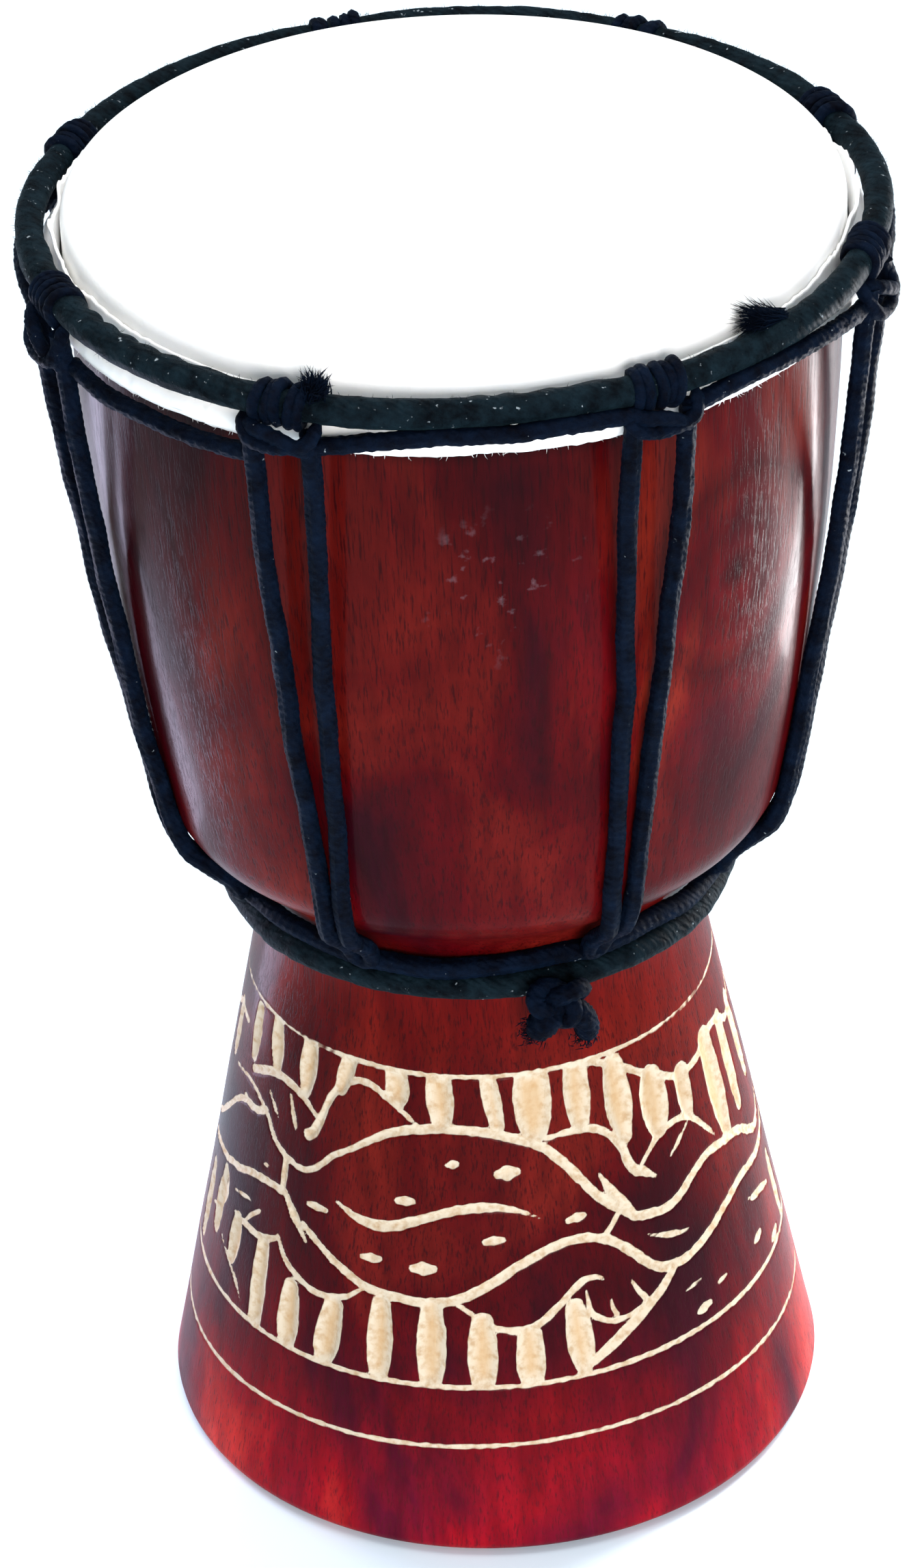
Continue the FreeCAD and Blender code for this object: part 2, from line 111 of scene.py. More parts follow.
def grid(rows, columns, rows_closed=False, first=0):
    """Quads between neighbouring points of a grid whose columns close on themselves."""
    row = np.arange(rows if rows_closed else rows - 1)[:, None]
    column = np.arange(columns)[None, :]
    below = (row + 1) % rows
    beside = (column + 1) % columns
    corners = (
        row * columns + column,
        row * columns + beside,
        below * columns + beside,
        below * columns + column,
    )
    return np.stack(corners, axis=-1).reshape(-1, 4) + first


def new_piece(name, points, faces, finish, stands_for=()):
    """A piece on the drum's only body, with its points in metres and its faces outwards."""
    mesh = bpy.data.meshes.new(name)
    corners = np.concatenate([part.ravel() for part in faces]).astype(np.int32)
    counts = np.concatenate([np.full(len(part), part.shape[1]) for part in faces])
    mesh.vertices.add(len(points))
    mesh.vertices.foreach_set("co", np.asarray(points, np.float32).ravel())
    mesh.loops.add(len(corners))
    mesh.loops.foreach_set("vertex_index", corners)
    mesh.polygons.add(len(counts))
    mesh.polygons.foreach_set("loop_start", (np.cumsum(counts) - counts).astype(np.int32))
    mesh.update(calc_edges=True)
    mesh.shade_smooth()
    mesh.materials.append(finish)
    piece = bpy.data.objects.new(name, mesh)
    bpy.context.scene.collection.objects.link(piece)
    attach(piece, "root")
    if stands_for:
        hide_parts(*stands_for)
    return piece


def store(piece, name, values):
    """One number for every point of the piece, kept as an attribute that its finish reads."""
    kept = piece.data.attributes.new(name, "FLOAT", "POINT")
    kept.data.foreach_set("value", np.asarray(values, np.float32).ravel())


def waves(turn, height, seed, longest, shortest, count=14):
    """A smooth random height between about -1 and 1: a sum of waves whole in one turn of the drum."""
    draw = np.random.default_rng(seed)
    total = np.zeros(np.broadcast(turn, height).shape)
    sizes = np.geomspace(longest, shortest, count)
    for size in sizes:
        across = np.round(draw.uniform(-1, 1) * 300 / size)
        rise = draw.uniform(-1, 1) * 2 * np.pi / size
        total += np.sin(across * turn + rise * height + draw.uniform(0, 2 * np.pi))
    return total / math.sqrt(count)


def arc(start, end, radius, side, count):
    """Points after start on a circle's arc to end, bulging to the left of the way for side 1."""
    start, end = np.array(start, float), np.array(end, float)
    chord = end - start
    length = np.hypot(*chord)
    steps = np.linspace(-1, 1, count + 1)[1:, None]
    middle = (start + end) / 2
    if radius is None:
        return middle + steps * chord / 2
    half = math.asin(min(1, length / 2 / radius))
    left = np.array([-chord[1], chord[0]]) / length
    rise = radius * (np.cos(half * steps) - math.cos(half))
    return middle + radius * np.sin(half * steps) * chord / length + side * rise * left


def outline(start, runs):
    """The profile through the corners: each run gives its end, its arc's radius and side, and steps."""
    profile = [np.array([start], float)]
    for end, radius, side, count in runs:
        profile.append(arc(profile[-1][-1], end, radius, side, count))
    return np.vstack(profile)


def sewn(upper, upper_count, lower, lower_count):
    """Triangles between a ring of points and one with half as many points, in either order."""
    fine_above = upper_count > lower_count
    coarse = np.arange(min(upper_count, lower_count))
    beside = (coarse + 1) % len(coarse)
    fine = upper if fine_above else lower
    rough = lower if fine_above else upper
    start, middle, last = fine + 2 * coarse, fine + 2 * coarse + 1, fine + 2 * beside
    triangles = [
        np.stack([rough + coarse, start, middle], axis=-1),
        np.stack([rough + coarse, middle, rough + beside], axis=-1),
        np.stack([rough + beside, middle, last], axis=-1),
    ]
    made = np.vstack(triangles)
    return made if fine_above else made[:, ::-1]


# ---------------------------------------------------------------- carved shell

OUTSIDE = (
    [((52.4, 197.2), 1.9, 1, 5), ((48.9, 136.0), 355, 1, 12), ((45.0, 110.5), 900, 1, 5)]
    + [((40.3, 103.3), 10.6, 1, 6), ((32.0, 88.0), 18.2, -1, 9), ((32.5, 81.9), 36, -1, 4)]
)
FOOT_TOP = (32.5, 81.9)
FOOT_LOW = (48.7, 2.2)
# spindle cuts above this height hang from the upper line, the others stand on the lower one
MIDDLE_OF_BAND = 50
# the distance from a cut where there is none near, and the depth that no cut passes
UNCUT = 3.0
DEEPEST_CUT = 0.85
# columns round the carved band, round the rest of the outside and round the inside
CARVED_COLUMNS = 600
PLAIN_COLUMNS = 300
INSIDE_COLUMNS = 150
INSIDE = [
    ((42.8, 0.0), None, 1, 1),
    ((25.2, 80.0), None, 1, 7),
    ((24.0, 86.0), None, 1, 1),
    ((24.0, 93.0), None, 1, 1),
    ((40.6, 116.0), 90, -1, 7),
    ((46.2, 160.0), 250, -1, 5),
    ((46.6, 194.0), None, 1, 1),
    ((49.6, 198.9), None, 1, 1),
]
# the spindle cuts hanging from the upper line: azimuth and height of the top and the bottom, and
# half the width at the top, the middle and the bottom
UPPER_CUTS = [
    ((-70, 73), (-70, 65), (0.8, 1.5, 0.8)),
    ((-60.3, 74), (-58.6, 67), (1.0, 1.6, 0.9)),
    ((-47.4, 74.7), (-47.4, 66.8), (1.2, 1.75, 0.9)),
    ((-34.8, 75.2), (-37, 69.5), (1.1, 1.45, 0.8)),
    ((-22.5, 75), (-21.5, 70), (1.5, 1.8, 0.5)),
    ((-12, 75.3), (-11, 67.5), (1.7, 1.95, 1.2)),
    ((-0.2, 75.3), (1.8, 67), (1.1, 1.3, 1.0)),
    ((10.3, 75.4), (10.3, 65.5), (2.2, 2.75, 1.5)),
    ((21.2, 75.2), (21.2, 65.7), (1.4, 2.0, 1.2)),
    ((31.3, 73.2), (31.8, 61.5), (1.2, 2.2, 0.9)),
    ((41.5, 68.7), (41.5, 59.8), (1.2, 2.6, 1.2)),
    ((51.5, 66), (51.5, 59.2), (1.9, 1.7, 0.8)),
    ((63.5, 67.5), (64.5, 51), (1.6, 2.3, 0.9)),
    ((73.3, 67), (73.3, 52), (1.1, 1.7, 0.8)),
    ((84, 66), (84, 53), (1.1, 1.9, 0.8)),
    ((95, 68), (95, 60), (1.0, 1.8, 0.8)),
]
# the spindle cuts standing on the lower line
LOWER_CUTS = [
    ((-75, 44), (-75, 37), (0.7, 1.4, 0.7)),
    ((-65.3, 40), (-66, 32.5), (0.8, 1.75, 0.9)),
    ((-54.8, 40), (-54.8, 25.5), (1.3, 1.75, 1.4)),
    ((-45.2, 36.5), (-45.2, 26), (1.0, 2.1, 1.1)),
    ((-34.3, 36.8), (-36, 26.2), (1.1, 2.2, 0.8)),
    ((-23.7, 39.3), (-23.7, 26.6), (1.0, 2.0, 0.9)),
    ((-13.1, 40), (-13.1, 26.8), (1.0, 2.2, 1.2)),
    ((-3, 38), (-3, 27), (1.1, 2.2, 1.3)),
    ((6.3, 35.5), (6.3, 27), (1.6, 2.1, 1.4)),
    ((15.9, 38.8), (16.8, 27.8), (0.8, 2.0, 0.6)),
    ((84, 38), (84, 28), (0.8, 1.8, 0.9)),
    ((95, 40), (95, 28), (0.9, 2.0, 1.0)),
    ((104, 41), (104, 33), (0.8, 1.7, 0.8)),
]
# the drawn lines of the ornament: half widths spread evenly along the line, and its points
DRAWN_CUTS = [
    # upper wave, from the left side round to the right
    ((0.5, 0.6, 0.5, 0.4, 0.6, 0.75, 0.8, 0.75, 0.75, 0.7, 0.75, 0.8, 0.7, 0.7, 0.65, 0.6, 0.6), [
        (-66, 61), (-60, 59.4), (-57, 57.3), (-54, 56), (-50, 55.2), (-46, 55), (-43, 55.8), (-40, 57.5),
        (-37, 59.6), (-32, 61.8), (-28, 63.7), (-24, 65.3), (-20, 66.3), (-15, 67), (-10, 67.3), (-5, 67.2),
        (0, 66.8), (5, 65.8), (9, 64.8), (12, 63.7), (15, 61.8), (18, 59.4), (20.5, 57), (23, 54.8),
        (26, 52.5), (29, 50.9), (32, 49.2), (35, 48.6), (39, 48.2), (42, 48.4), (45, 49.2), (49, 50.6),
        (53, 51.5), (56, 51.7), (60, 51.2), (65, 50.5), (70, 49.3), (75, 47), (79, 45.5), (84, 45.5),
        (91, 47.5), (98, 51.5), (105, 56), (110, 57.8),
    ]),
    ((0.6,), [(-71, 57.9), (-67, 57.9), (-63, 58.7), (-60.5, 59.8)]),
    ((0.25, 0.4, 0.3), [(-80, 60), (-70, 61.3), (-62, 60.2)]),
    # lower wave
    ((0.55, 0.65), [(-76, 45.2), (-72, 46.3), (-68, 47), (-64, 48.2), (-60, 49), (-55, 49.6), (-50, 49.8)]),
    ((0.6, 0.9, 0.3), [(-50, 49.8), (-46.5, 47.2), (-42.7, 44.3)]),
    ((0.6, 0.75, 0.75, 0.75, 0.75, 0.75, 0.75, 0.7, 0.6), [
        (-43.5, 46.6), (-40, 45.2), (-36, 43.6), (-32, 42.2), (-28, 40.9), (-24, 40.4), (-20, 40.2),
        (-16, 40), (-12, 40.2), (-8, 40.9), (-4, 42.2), (0, 43.8), (4, 45.6), (8, 47), (12, 48.1),
        (16, 48.6), (20, 48.4), (24, 47.4), (27, 45.9), (30, 43.8), (33, 41.4), (36, 39.7), (39, 39.2),
        (43, 39), (48, 39.9), (52, 40.8), (56, 41.9), (60, 42.7), (65, 43.3), (70, 43), (78, 42.4),
        (87, 42.8), (96, 44.4), (104, 45.4),
    ]),
    ((0.6, 0.7, 0.6), [(-51, 55.3), (-51, 50)]),
    # left arc and the hook over the leaf
    ((0.6, 0.75, 0.7, 0.4), [
        (-69, 63.5), (-65, 64.8), (-60, 66.3), (-56, 66.8), (-51, 66.6), (-47, 65.7), (-43.5, 64.3),
    ]),
    ((0.95, 0.7, 0.6, 0.6, 0.5, 0.35), [
        (-45, 60.8), (-43.3, 61.8), (-42, 63.7), (-41, 65.5), (-39.5, 68), (-37, 70.5), (-34, 71.8),
        (-31, 72.3), (-28, 72), (-24, 70.6), (-20, 68.9), (-16.5, 67.2),
    ]),
    # short hatches
    ((0.2, 0.45, 0.2), [(-60, 63), (-57.5, 61.5), (-55.5, 60.3)]),
    ((0.2, 0.55, 0.3), [(-52, 65), (-50.5, 62.5), (-49, 60.5)]),
    ((0.2, 0.45, 0.2), [(-69, 43), (-65, 43.8), (-61, 44.4)]),
    ((0.2, 0.45, 0.3), [(-62.5, 40.5), (-60, 42.5), (-57.5, 44)]),
    ((0.15, 0.4, 0.2), [(50, 58.4), (47, 57), (43.5, 55.5)]),
    # lower left lines
    ((0.4, 0.6, 0.6, 0.4), [(-67, 39.8), (-62, 40), (-57, 40.2), (-53, 41.2), (-50.5, 42.2)]),
    ((0.4, 0.55, 0.55, 0.5, 0.3), [
        (-50.5, 42.5), (-49.5, 41.3), (-47, 39.3), (-43, 37.9), (-39.5, 37.2), (-36, 37.3), (-32, 38.2),
        (-30, 39.2), (-27.5, 40.5),
    ]),
    ((0.2, 0.45, 0.2), [(-72, 33.5), (-64, 30.5), (-60, 27.8)]),
    ((0.3, 0.45, 0.3), [(-80, 35.5), (-76, 37), (-72.5, 40), (-73, 43.5)]),
    # the leaf's middle rib
    ((0.15, 0.6, 0.9, 0.85, 0.7, 0.75, 0.8, 0.45, 0.15), [
        (-36, 52.8), (-33, 51.9), (-30, 51.2), (-26, 50.9), (-22, 51.3), (-18, 52.3), (-14, 53.4),
        (-10, 54.4), (-6, 55), (-2, 55.3), (2, 55.1), (6, 54.3), (10, 53),
    ]),
    # right side: bird's back, wing and the branch
    ((0.4, 0.6, 0.65, 0.6, 0.8, 0.8, 0.3), [
        (12.5, 65), (17, 65.3), (21, 65.2), (25, 64.6), (28, 63), (30.5, 60.8), (31.5, 58.5), (33, 56.4),
        (36, 55), (38.5, 53.7),
    ]),
    ((0.3, 0.55, 0.55, 0.5, 0.25), [
        (35, 56.5), (37.5, 58), (40, 59.2), (44, 60), (48, 60), (51, 59.2), (54, 57.5), (57, 55),
        (59, 53.2),
    ]),
    ((0.5, 0.65, 0.6, 0.65, 0.6, 0.55), [
        (22, 75.2), (25, 74.9), (28, 74.3), (31, 73.2), (35, 71.8), (39, 70.2), (43, 68.7), (47, 67.2),
        (50, 66.3), (54, 66), (58, 66.2), (61, 66.8), (65, 67.8), (69, 68), (74, 67), (79, 65), (86, 65.5),
        (94, 68), (103, 68.5),
    ]),
    ((0.25, 0.7, 0.9, 0.5), [(24.3, 57.6), (26, 55.3), (28.5, 52.5), (31, 50.4)]),
    ((0.45,), [(27.5, 50.6), (25.5, 49), (24, 48)]),
    ((0.15, 0.55, 0.15), [(34, 45.6), (37, 44.6), (40, 43.8), (43, 43.2), (45, 43)]),
    ((0.6, 0.9, 1.0, 0.8, 0.6), [
        (16.5, 28.5), (19, 29.3), (23, 31), (27, 32.8), (31, 34.5), (35, 36.2), (38.5, 38.2), (40, 39.3),
    ]),
    ((0.3, 0.5, 0.5, 0.3), [(18.6, 40.3), (19, 37), (21, 35.4), (24, 34.4), (28, 34.6), (32, 35.5)]),
    ((0.2, 0.4), [(23.6, 38), (23.8, 36.5), (24.5, 35.2)]),
    ((0.3, 0.5), [(28.7, 39.6), (30, 37.7), (31.5, 36)]),
    ((0.35, 0.55, 0.6, 0.6, 0.6, 0.25), [
        (-7.5, 40), (-5, 38.7), (-2, 37), (1, 36.2), (4, 35.9), (7, 36.2), (10, 37.4), (13, 39.2),
        (16, 41), (18.5, 42), (21, 42), (22.5, 41.4),
    ]),
    ((0.2, 0.7, 0.4), [(66, 39), (69, 38), (73, 37.4), (78, 36)]),
]
# the dots: azimuth, height, half the width in degrees and half the height
DOTS = [
    (-8.7, 61.9, 2.2, 0.75), (3.5, 60.5, 3.8, 1.2), (-19.1, 55.5, 3.0, 0.8), (-40.5, 50.4, 3.6, 0.7),
    (-26.4, 45.6, 3.1, 0.8), (-15, 45.4, 3.8, 1.1), (0, 50.1, 3.1, 0.8), (18, 51.9, 3.0, 0.8),
    (45.2, 29.8, 2.8, 0.8), (43.5, 34.2, 2.6, 0.35), (51.5, 32, 2.0, 0.4), (66.5, 32.2, 2.6, 0.8),
    (75, 28.3, 3.0, 0.8), (-57.5, 51.7, 1.6, 0.4),
]


def through(points, steps=5):
    """A smooth line through the points: each run's end slopes are half the way between neighbours."""
    kept = np.array(points, float)
    kept = np.vstack([2 * kept[0] - kept[1], kept, 2 * kept[-1] - kept[-2]])
    a, b, c, d = kept[:-3], kept[1:-2], kept[2:-1], kept[3:]
    t = np.linspace(0, 1, steps, endpoint=False)[:, None, None]
    line = b + t / 2 * (c - a + t * (2 * a - 5 * b + 4 * c - d + t * (3 * (b - c) + d - a)))
    return np.vstack([line.transpose(1, 0, 2).reshape(-1, kept.shape[1]), kept[-2:-1]])


def foot_radius(height):
    """Outside radius of the foot's cone: it grows evenly downwards."""
    share = (FOOT_TOP[1] - height) / (FOOT_TOP[1] - FOOT_LOW[1])
    return FOOT_TOP[0] + (FOOT_LOW[0] - FOOT_TOP[0]) * share


def cut_in(depths, azimuths, heights, line, half_widths):
    """Lowers depths to the distance from the line less its half width there, in millimetres.

    Only the part of the grid near the line is worked on. Each point's distance is the least of its
    distances to the line's runs, on the cone rolled out flat.
    """
    halves = np.interp(np.linspace(0, 1, len(line)), np.linspace(0, 1, len(half_widths)), half_widths)
    reach = halves.max() + 1.5
    middle = line[:, 0].mean()
    turned = (azimuths - middle + 180) % 360 - 180
    scale = np.radians(1) * foot_radius(line[:, 1].mean())
    low, high = line.min(axis=0), line.max(axis=0)
    rows = np.flatnonzero((heights > low[1] - reach) & (heights < high[1] + reach))
    near = (turned > low[0] - middle - reach / scale) & (turned < high[0] - middle + reach / scale)
    columns = np.flatnonzero(near)
    if not len(rows) or not len(columns):
        return
    spread = np.radians(1) * foot_radius(heights[rows])[:, None]
    across = (turned[columns][None, :] * spread).ravel()
    rise = np.repeat(heights[rows], len(columns))
    x = (line[:, 0] - middle) * np.radians(1) * foot_radius(line[:, 1])
    y = line[:, 1]
    run_x, run_y = np.diff(x), np.diff(y)
    off_x, off_y = across[:, None] - x[:-1], rise[:, None] - y[:-1]
    share = np.clip((off_x * run_x + off_y * run_y) / (run_x**2 + run_y**2 + 1e-9), 0, 1)
    away = np.hypot(off_x - share * run_x, off_y - share * run_y)
    away -= halves[:-1] + share * np.diff(halves)
    part = np.ix_(rows, columns)
    depths[part] = np.minimum(depths[part], away.min(axis=1).reshape(len(rows), len(columns)))


def carving(azimuths, heights):
    """Signed distance to the nearest cut over the carved band: below zero in a cut, in millimetres.

    Three lines go all the way round, each at a height that rises and falls with the azimuth. The
    spindle cuts stop flat at the upper two of them. The ornament is cut twice, on the player's side
    and on the far side.
    """
    turn = np.radians(azimuths)[None, :]
    level = heights[:, None]
    from_front = np.abs((azimuths[None, :] + 180) % 360 - 180)
    upper_half = 0.38 - 0.12 * np.clip((from_front - 30) / 20, 0, 1)
    above_upper = level - 74.6 - 0.8 * np.cos(turn - 0.17)
    above_lower = level - 25.9 - 1.4 * np.cos(turn - 0.44)
    upper = np.abs(above_upper) - upper_half
    lower_half, lowest_half = 0.42, 0.36
    lower = np.abs(above_lower) - lower_half
    above_lowest = level - 16.2 - 1.3 * np.cos(turn - 0.35) - 0.6 * np.cos(2 * turn - 0.7)
    lowest = np.abs(above_lowest) - lowest_half
    depths = np.minimum(np.minimum(upper, lower), lowest)
    hanging = np.full(depths.shape, UNCUT)
    standing = np.full(depths.shape, UNCUT)
    for half_turn in (0, 180):
        for top, bottom, widths in UPPER_CUTS + LOWER_CUTS:
            hangs = top[1] > MIDDLE_OF_BAND
            spindles = hanging if hangs else standing
            shy = [(0, 0.1), (0, 0.6 * widths[2])] if hangs else [(0, -0.6), (0, 0.1)]
            ends = np.array([top, bottom], float) + (half_turn, 0) + shy
            line = ends[0] + np.linspace(0, 1, 9)[:, None] * (ends[1] - ends[0])
            full = (widths[0] + widths[1]) / 2, widths[1], widths[1], (widths[1] + 2 * widths[2]) / 3
            bowed = through([(width,) for width in full], 4).ravel()
            cut_in(spindles, azimuths, heights, line, bowed)
        for widths, points in DRAWN_CUTS:
            cut_in(depths, azimuths, heights, through(points) + (half_turn, 0), widths)
        for azimuth, height, half_turned, half_high in DOTS:
            spread = half_turned * math.radians(1) * foot_radius(height)
            lean = (spread - half_high) / spread * half_turned
            dash = np.array([
                (azimuth - lean, height - 0.15),
                (azimuth, height),
                (azimuth + lean, height + 0.1),
            ])
            halves = (half_high * 0.6, half_high, half_high * 0.6)
            cut_in(depths, azimuths, heights, dash + (half_turn, 0), halves)
    depths = np.minimum(depths, np.maximum(hanging, above_upper))
    depths = np.minimum(depths, np.maximum(standing, -above_lower))
    ragged = 0.07 * waves(turn, level, 4, 4.0, 1.4, 20)
    return depths + ragged


def carved_shell(finish):
    """The goblet as one closed surface: a profile turned round the axis, closer columns in front.

    Column i is at azimuth u - 0.4 sin(u) with u even round the turn, so that the cuts are finest on
    the player's side. The carved band has 600 columns, the rest of the outside 300 and the inside
    150, sewn with triangles. A cut goes in by 0.75 of its distance from the edge, 0.85 mm at most.
    """
    def columns(count):
        even = np.linspace(0, 2 * np.pi, count, endpoint=False)
        return np.degrees(even - 0.4 * np.sin(even))

    crown = outline((49.6, 198.9), OUTSIDE)
    top, low = np.array(FOOT_TOP), np.array(FOOT_LOW)
    heights = np.linspace(76.8, 14.0, 130)
    upper = np.vstack([crown[1:], top + (low - top) * (FOOT_TOP[1] - 77.6) / (top[1] - low[1])])
    foot = [(foot_radius(13.2), 13.2), (foot_radius(7), 7)]
    foot = np.vstack([foot, outline(FOOT_LOW, [((46.9, 0.0), 2.3, 1, 4)])])
    inner = outline((46.9, 0.0), INSIDE)[1:]
    bands = [
        (upper, PLAIN_COLUMNS),
        (np.column_stack([foot_radius(heights), heights]), CARVED_COLUMNS),
        (foot, PLAIN_COLUMNS),
        (inner, INSIDE_COLUMNS),
    ]
    points, faces, cuts, starts = [], [], [], []
    for profile, count in bands:
        azimuths = columns(count)
        turn = np.radians(azimuths)[None, :]
        radius = np.repeat(profile[:, :1], count, axis=1)
        height = np.repeat(profile[:, 1:], count, axis=1)
        field = np.full(radius.shape, UNCUT)
        if count == CARVED_COLUMNS:
            field = carving(azimuths, heights)
            slope = np.clip(-field - 0.02, 0, None) * 0.75
            depth = DEEPEST_CUT * np.tanh(slope / DEEPEST_CUT)
            radius = radius - 0.98 * depth
            height = height - 0.2 * depth
        if count != INSIDE_COLUMNS:
            below_rim = np.clip((199 - height) / 6, 0, 1)
            radius = radius + 0.10 * waves(turn, height, 9, 90, 30, 8) * below_rim
        starts.append(sum(len(part) for part in points))
        points.append(place(radius, azimuths[None, :], height).reshape(-1, 3))
        faces.append(grid(len(profile), count, first=starts[-1]))
        cuts.append(field.ravel())
    sizes = [count for _, count in bands]
    lasts = [start + (len(profile) - 1) * count for start, (profile, count) in zip(starts, bands)]
    for index in range(len(bands)):
        ahead = (index + 1) % len(bands)
        faces.append(sewn(lasts[index], sizes[index], starts[ahead], sizes[ahead]))
    flipped = [part[:, ::-1] for part in faces]
    shell = new_piece(
        "carved_shell", np.vstack(points), flipped, finish, ["wooden_shell"]
    )
    store(shell, "cut", np.concatenate(cuts))


# ---------------------------------------------------------------- skin

SKIN_RUNS = [
    ((20.0, 199.7), None, 1, 10),
    ((44.0, 199.7), None, 1, 10),
    ((50.5, 199.7), None, 1, 5),
    ((53.05, 197.15), 2.55, 1, 6),
    ((53.05, 190.6), None, 1, 6),
    ((54.65, 188.85), 1.6, -1, 6),
    ((56.1, 190.3), 1.45, -1, 6),
    ((54.65, 191.75), 1.45, -1, 6),
    ((53.75, 192.65), 0.95, 1, 4),
    ((53.35, 192.65), None, 1, 1),
    ((53.35, 197.2), None, 1, 8),
    ((53.75, 197.2), None, 1, 1),
    ((53.75, 193.2), None, 1, 8),
    ((54.65, 192.25), 1.3, -1, 4),
    ((56.6, 190.3), 1.95, 1, 8),
    ((54.65, 188.35), 1.95, 1, 8),
    ((52.8, 189.7), 1.95, 1, 6),
    ((52.55, 190.6), None, 1, 1),
    ((52.55, 197.15), None, 1, 6),
    ((50.5, 199.2), 2.05, -1, 5),
    ((44.0, 199.2), None, 1, 2),
    ((0.6, 199.2), None, 1, 6),
]


def skin(finish):
    """The goatskin: its profile turned round the axis, closed at both poles of the playing surface.

    The tail's free edge stands highest at both sides, where it is ragged and leans out. The roll
    round the hoop swells and narrows. The playing surface sinks by a few hundredths near its edge.
    """
    count = 480
    turn = np.linspace(0, 2 * np.pi, count, endpoint=False)[None, :]
    profile = outline((0.6, 199.7), SKIN_RUNS)
    radius, height = profile[:, :1], profile[:, 1:]
    # the tail is what stands above the hoop between these radii
    tail = np.clip((height - 193.0) / 4, 0, 1) * ((radius > 53.2) & (radius < 53.9))
    roll = np.clip((radius - 53.9) / 2.0, 0, 1) * np.clip((192.4 - height) / 1.0, 0, 1)
    tugs = sum(np.exp(-((turn - math.radians(top % 360)) / 0.06) ** 2) for top, _ in STATIONS)
    ripple = waves(turn, 0 * height, 21, 26, 4, 16)
    edge = waves(turn, 0 * height, 22, 9, 1.6, 18)
    sides = np.clip(1.25 * np.sin(turn) ** 2 - 0.35, 0, 1)
    grown = radius + tail * (0.05 + sides * (0.35 + 0.4 * ripple))
    grown = grown + roll * (0.12 * ripple + 0.10 * edge - 0.25 * tugs)
    raised = height + tail * (sides * (0.45 * edge + 0.35 * ripple - 0.5 * tugs) - 1.5 * (1 - sides))
    raised = raised + roll * np.where(height < 190.3, 0.22 * edge + 0.16 * ripple, 0)
    flat = np.clip((radius - 44) / 6, 0, 1) * (radius < 51) * (height > 198)
    raised = raised - flat * (0.05 + 0.05 * ripple)
    poles = place(np.zeros(2), np.zeros(2), np.array([199.7, 199.2]))
    points = np.vstack([place(grown, np.degrees(turn), raised).reshape(-1, 3), poles])
    last = len(profile) * count
    ring = np.arange(count)
    beside = (ring + 1) % count
    top = np.column_stack([np.full(count, last), ring, beside])
    under = np.column_stack([np.full(count, last + 1), last - count + beside, last - count + ring])
    faces = [grid(len(profile), count)[:, ::-1], top, under]
    return new_piece("skin_rolled_on_hoop", points, faces, finish, ["goatskin_head"])


# ---------------------------------------------------------------- bound rings

def bound_ring(name, radius, height, half, seed, finish, stands_for, pulls, frill):
    """A wire ring bound in cloth: a circle carried round a ring.

    The ring's radius drops a little at the pulls and is nearly straight between them; the circle's
    radius carries the edges of the wound cloth strip, one every 5 mm, lumps, and on the axis' side a
    frayed scalloped edge.
    """
    around, about = 720, 28
    turn = np.linspace(0, 2 * np.pi, around, endpoint=False)[:, None]
    tilt = np.linspace(0, 2 * np.pi, about, endpoint=False)[None, :]
    tugs = sum(np.exp(-(np.sin((turn - math.radians(pull)) / 2) * 2 / 0.12) ** 2) for pull in pulls)
    wind = np.mod(turn * radius / 5.2 + 0.18 * np.sin(tilt + turn * 3) + tilt / 2 / np.pi, 1)
    lap = np.where(wind < 0.12, wind / 0.12, 1 - (wind - 0.12) / 0.88 * 0.55)
    lumps = waves(turn, tilt, seed, 24, 1.6, 26)
    scallop = np.abs(np.sin(turn * 31 + 2.0 * np.sin(turn * 7)))
    scallop = scallop * np.clip(np.sin(turn * 2.5 + 1.0) + 0.5, 0, 1)
    inner = np.exp(-((tilt - math.radians(150)) / 0.35) ** 2)
    size = half * (0.96 + 0.045 * lap + 0.035 * lumps) + frill * inner * scallop
    middle = radius - 0.35 * tugs + 0.12 * waves(turn, 0, seed + 1, 90, 30, 6)
    out = middle + size * np.cos(tilt)
    rise = height - 0.25 * tugs + 0.15 * waves(turn, 0, seed + 2, 90, 30, 6) + size * np.sin(tilt)
    points = place(out, np.degrees(turn), rise).reshape(-1, 3)
    faces = [grid(around, about, rows_closed=True)]
    new_piece(name, points, faces, finish, stands_for)


def whiskers(name, roots, ways, lengths, width, seed, finish, stands_for=()):
    """Loose fibres: each a three-sided spike in two runs that bends over as it thins to its tip."""
    draw = np.random.default_rng(seed)
    count = len(roots)
    ways = ways / np.linalg.norm(ways, axis=1, keepdims=True)
    sway = np.cross(ways, draw.normal(size=(count, 3)))
    sway /= np.linalg.norm(sway, axis=1, keepdims=True)
    beside = np.cross(ways, sway)
    lengths = lengths[:, None]
    middles = roots + ways * lengths * 0.55 + sway * lengths * 0.10
    tips = roots + ways * lengths + sway * lengths * 0.38
    turns = np.array([0, 2 * np.pi / 3, 4 * np.pi / 3])
    ring = np.cos(turns)[None, :, None] * sway[:, None, :]
    ring = ring + np.sin(turns)[None, :, None] * beside[:, None, :]
    low = roots[:, None, :] + ring * width
    high = middles[:, None, :] + ring * width * 0.75
    points = np.concatenate([low, high, tips[:, None, :]], axis=1).reshape(-1, 3)
    start = np.arange(count)[:, None] * 7
    walls = np.array([[0, 1, 4, 3], [1, 2, 5, 4], [2, 0, 3, 5]])
    points_up = np.array([[3, 4, 6], [4, 5, 6], [5, 3, 6], [0, 2, 1]])
    quads = (start[:, None, :] + walls[None]).reshape(-1, 4)
    triangles = (start[:, None, :] + points_up[None]).reshape(-1, 3)
    new_piece(name, points, [quads, triangles], finish, stands_for)


# ---------------------------------------------------------------- cords

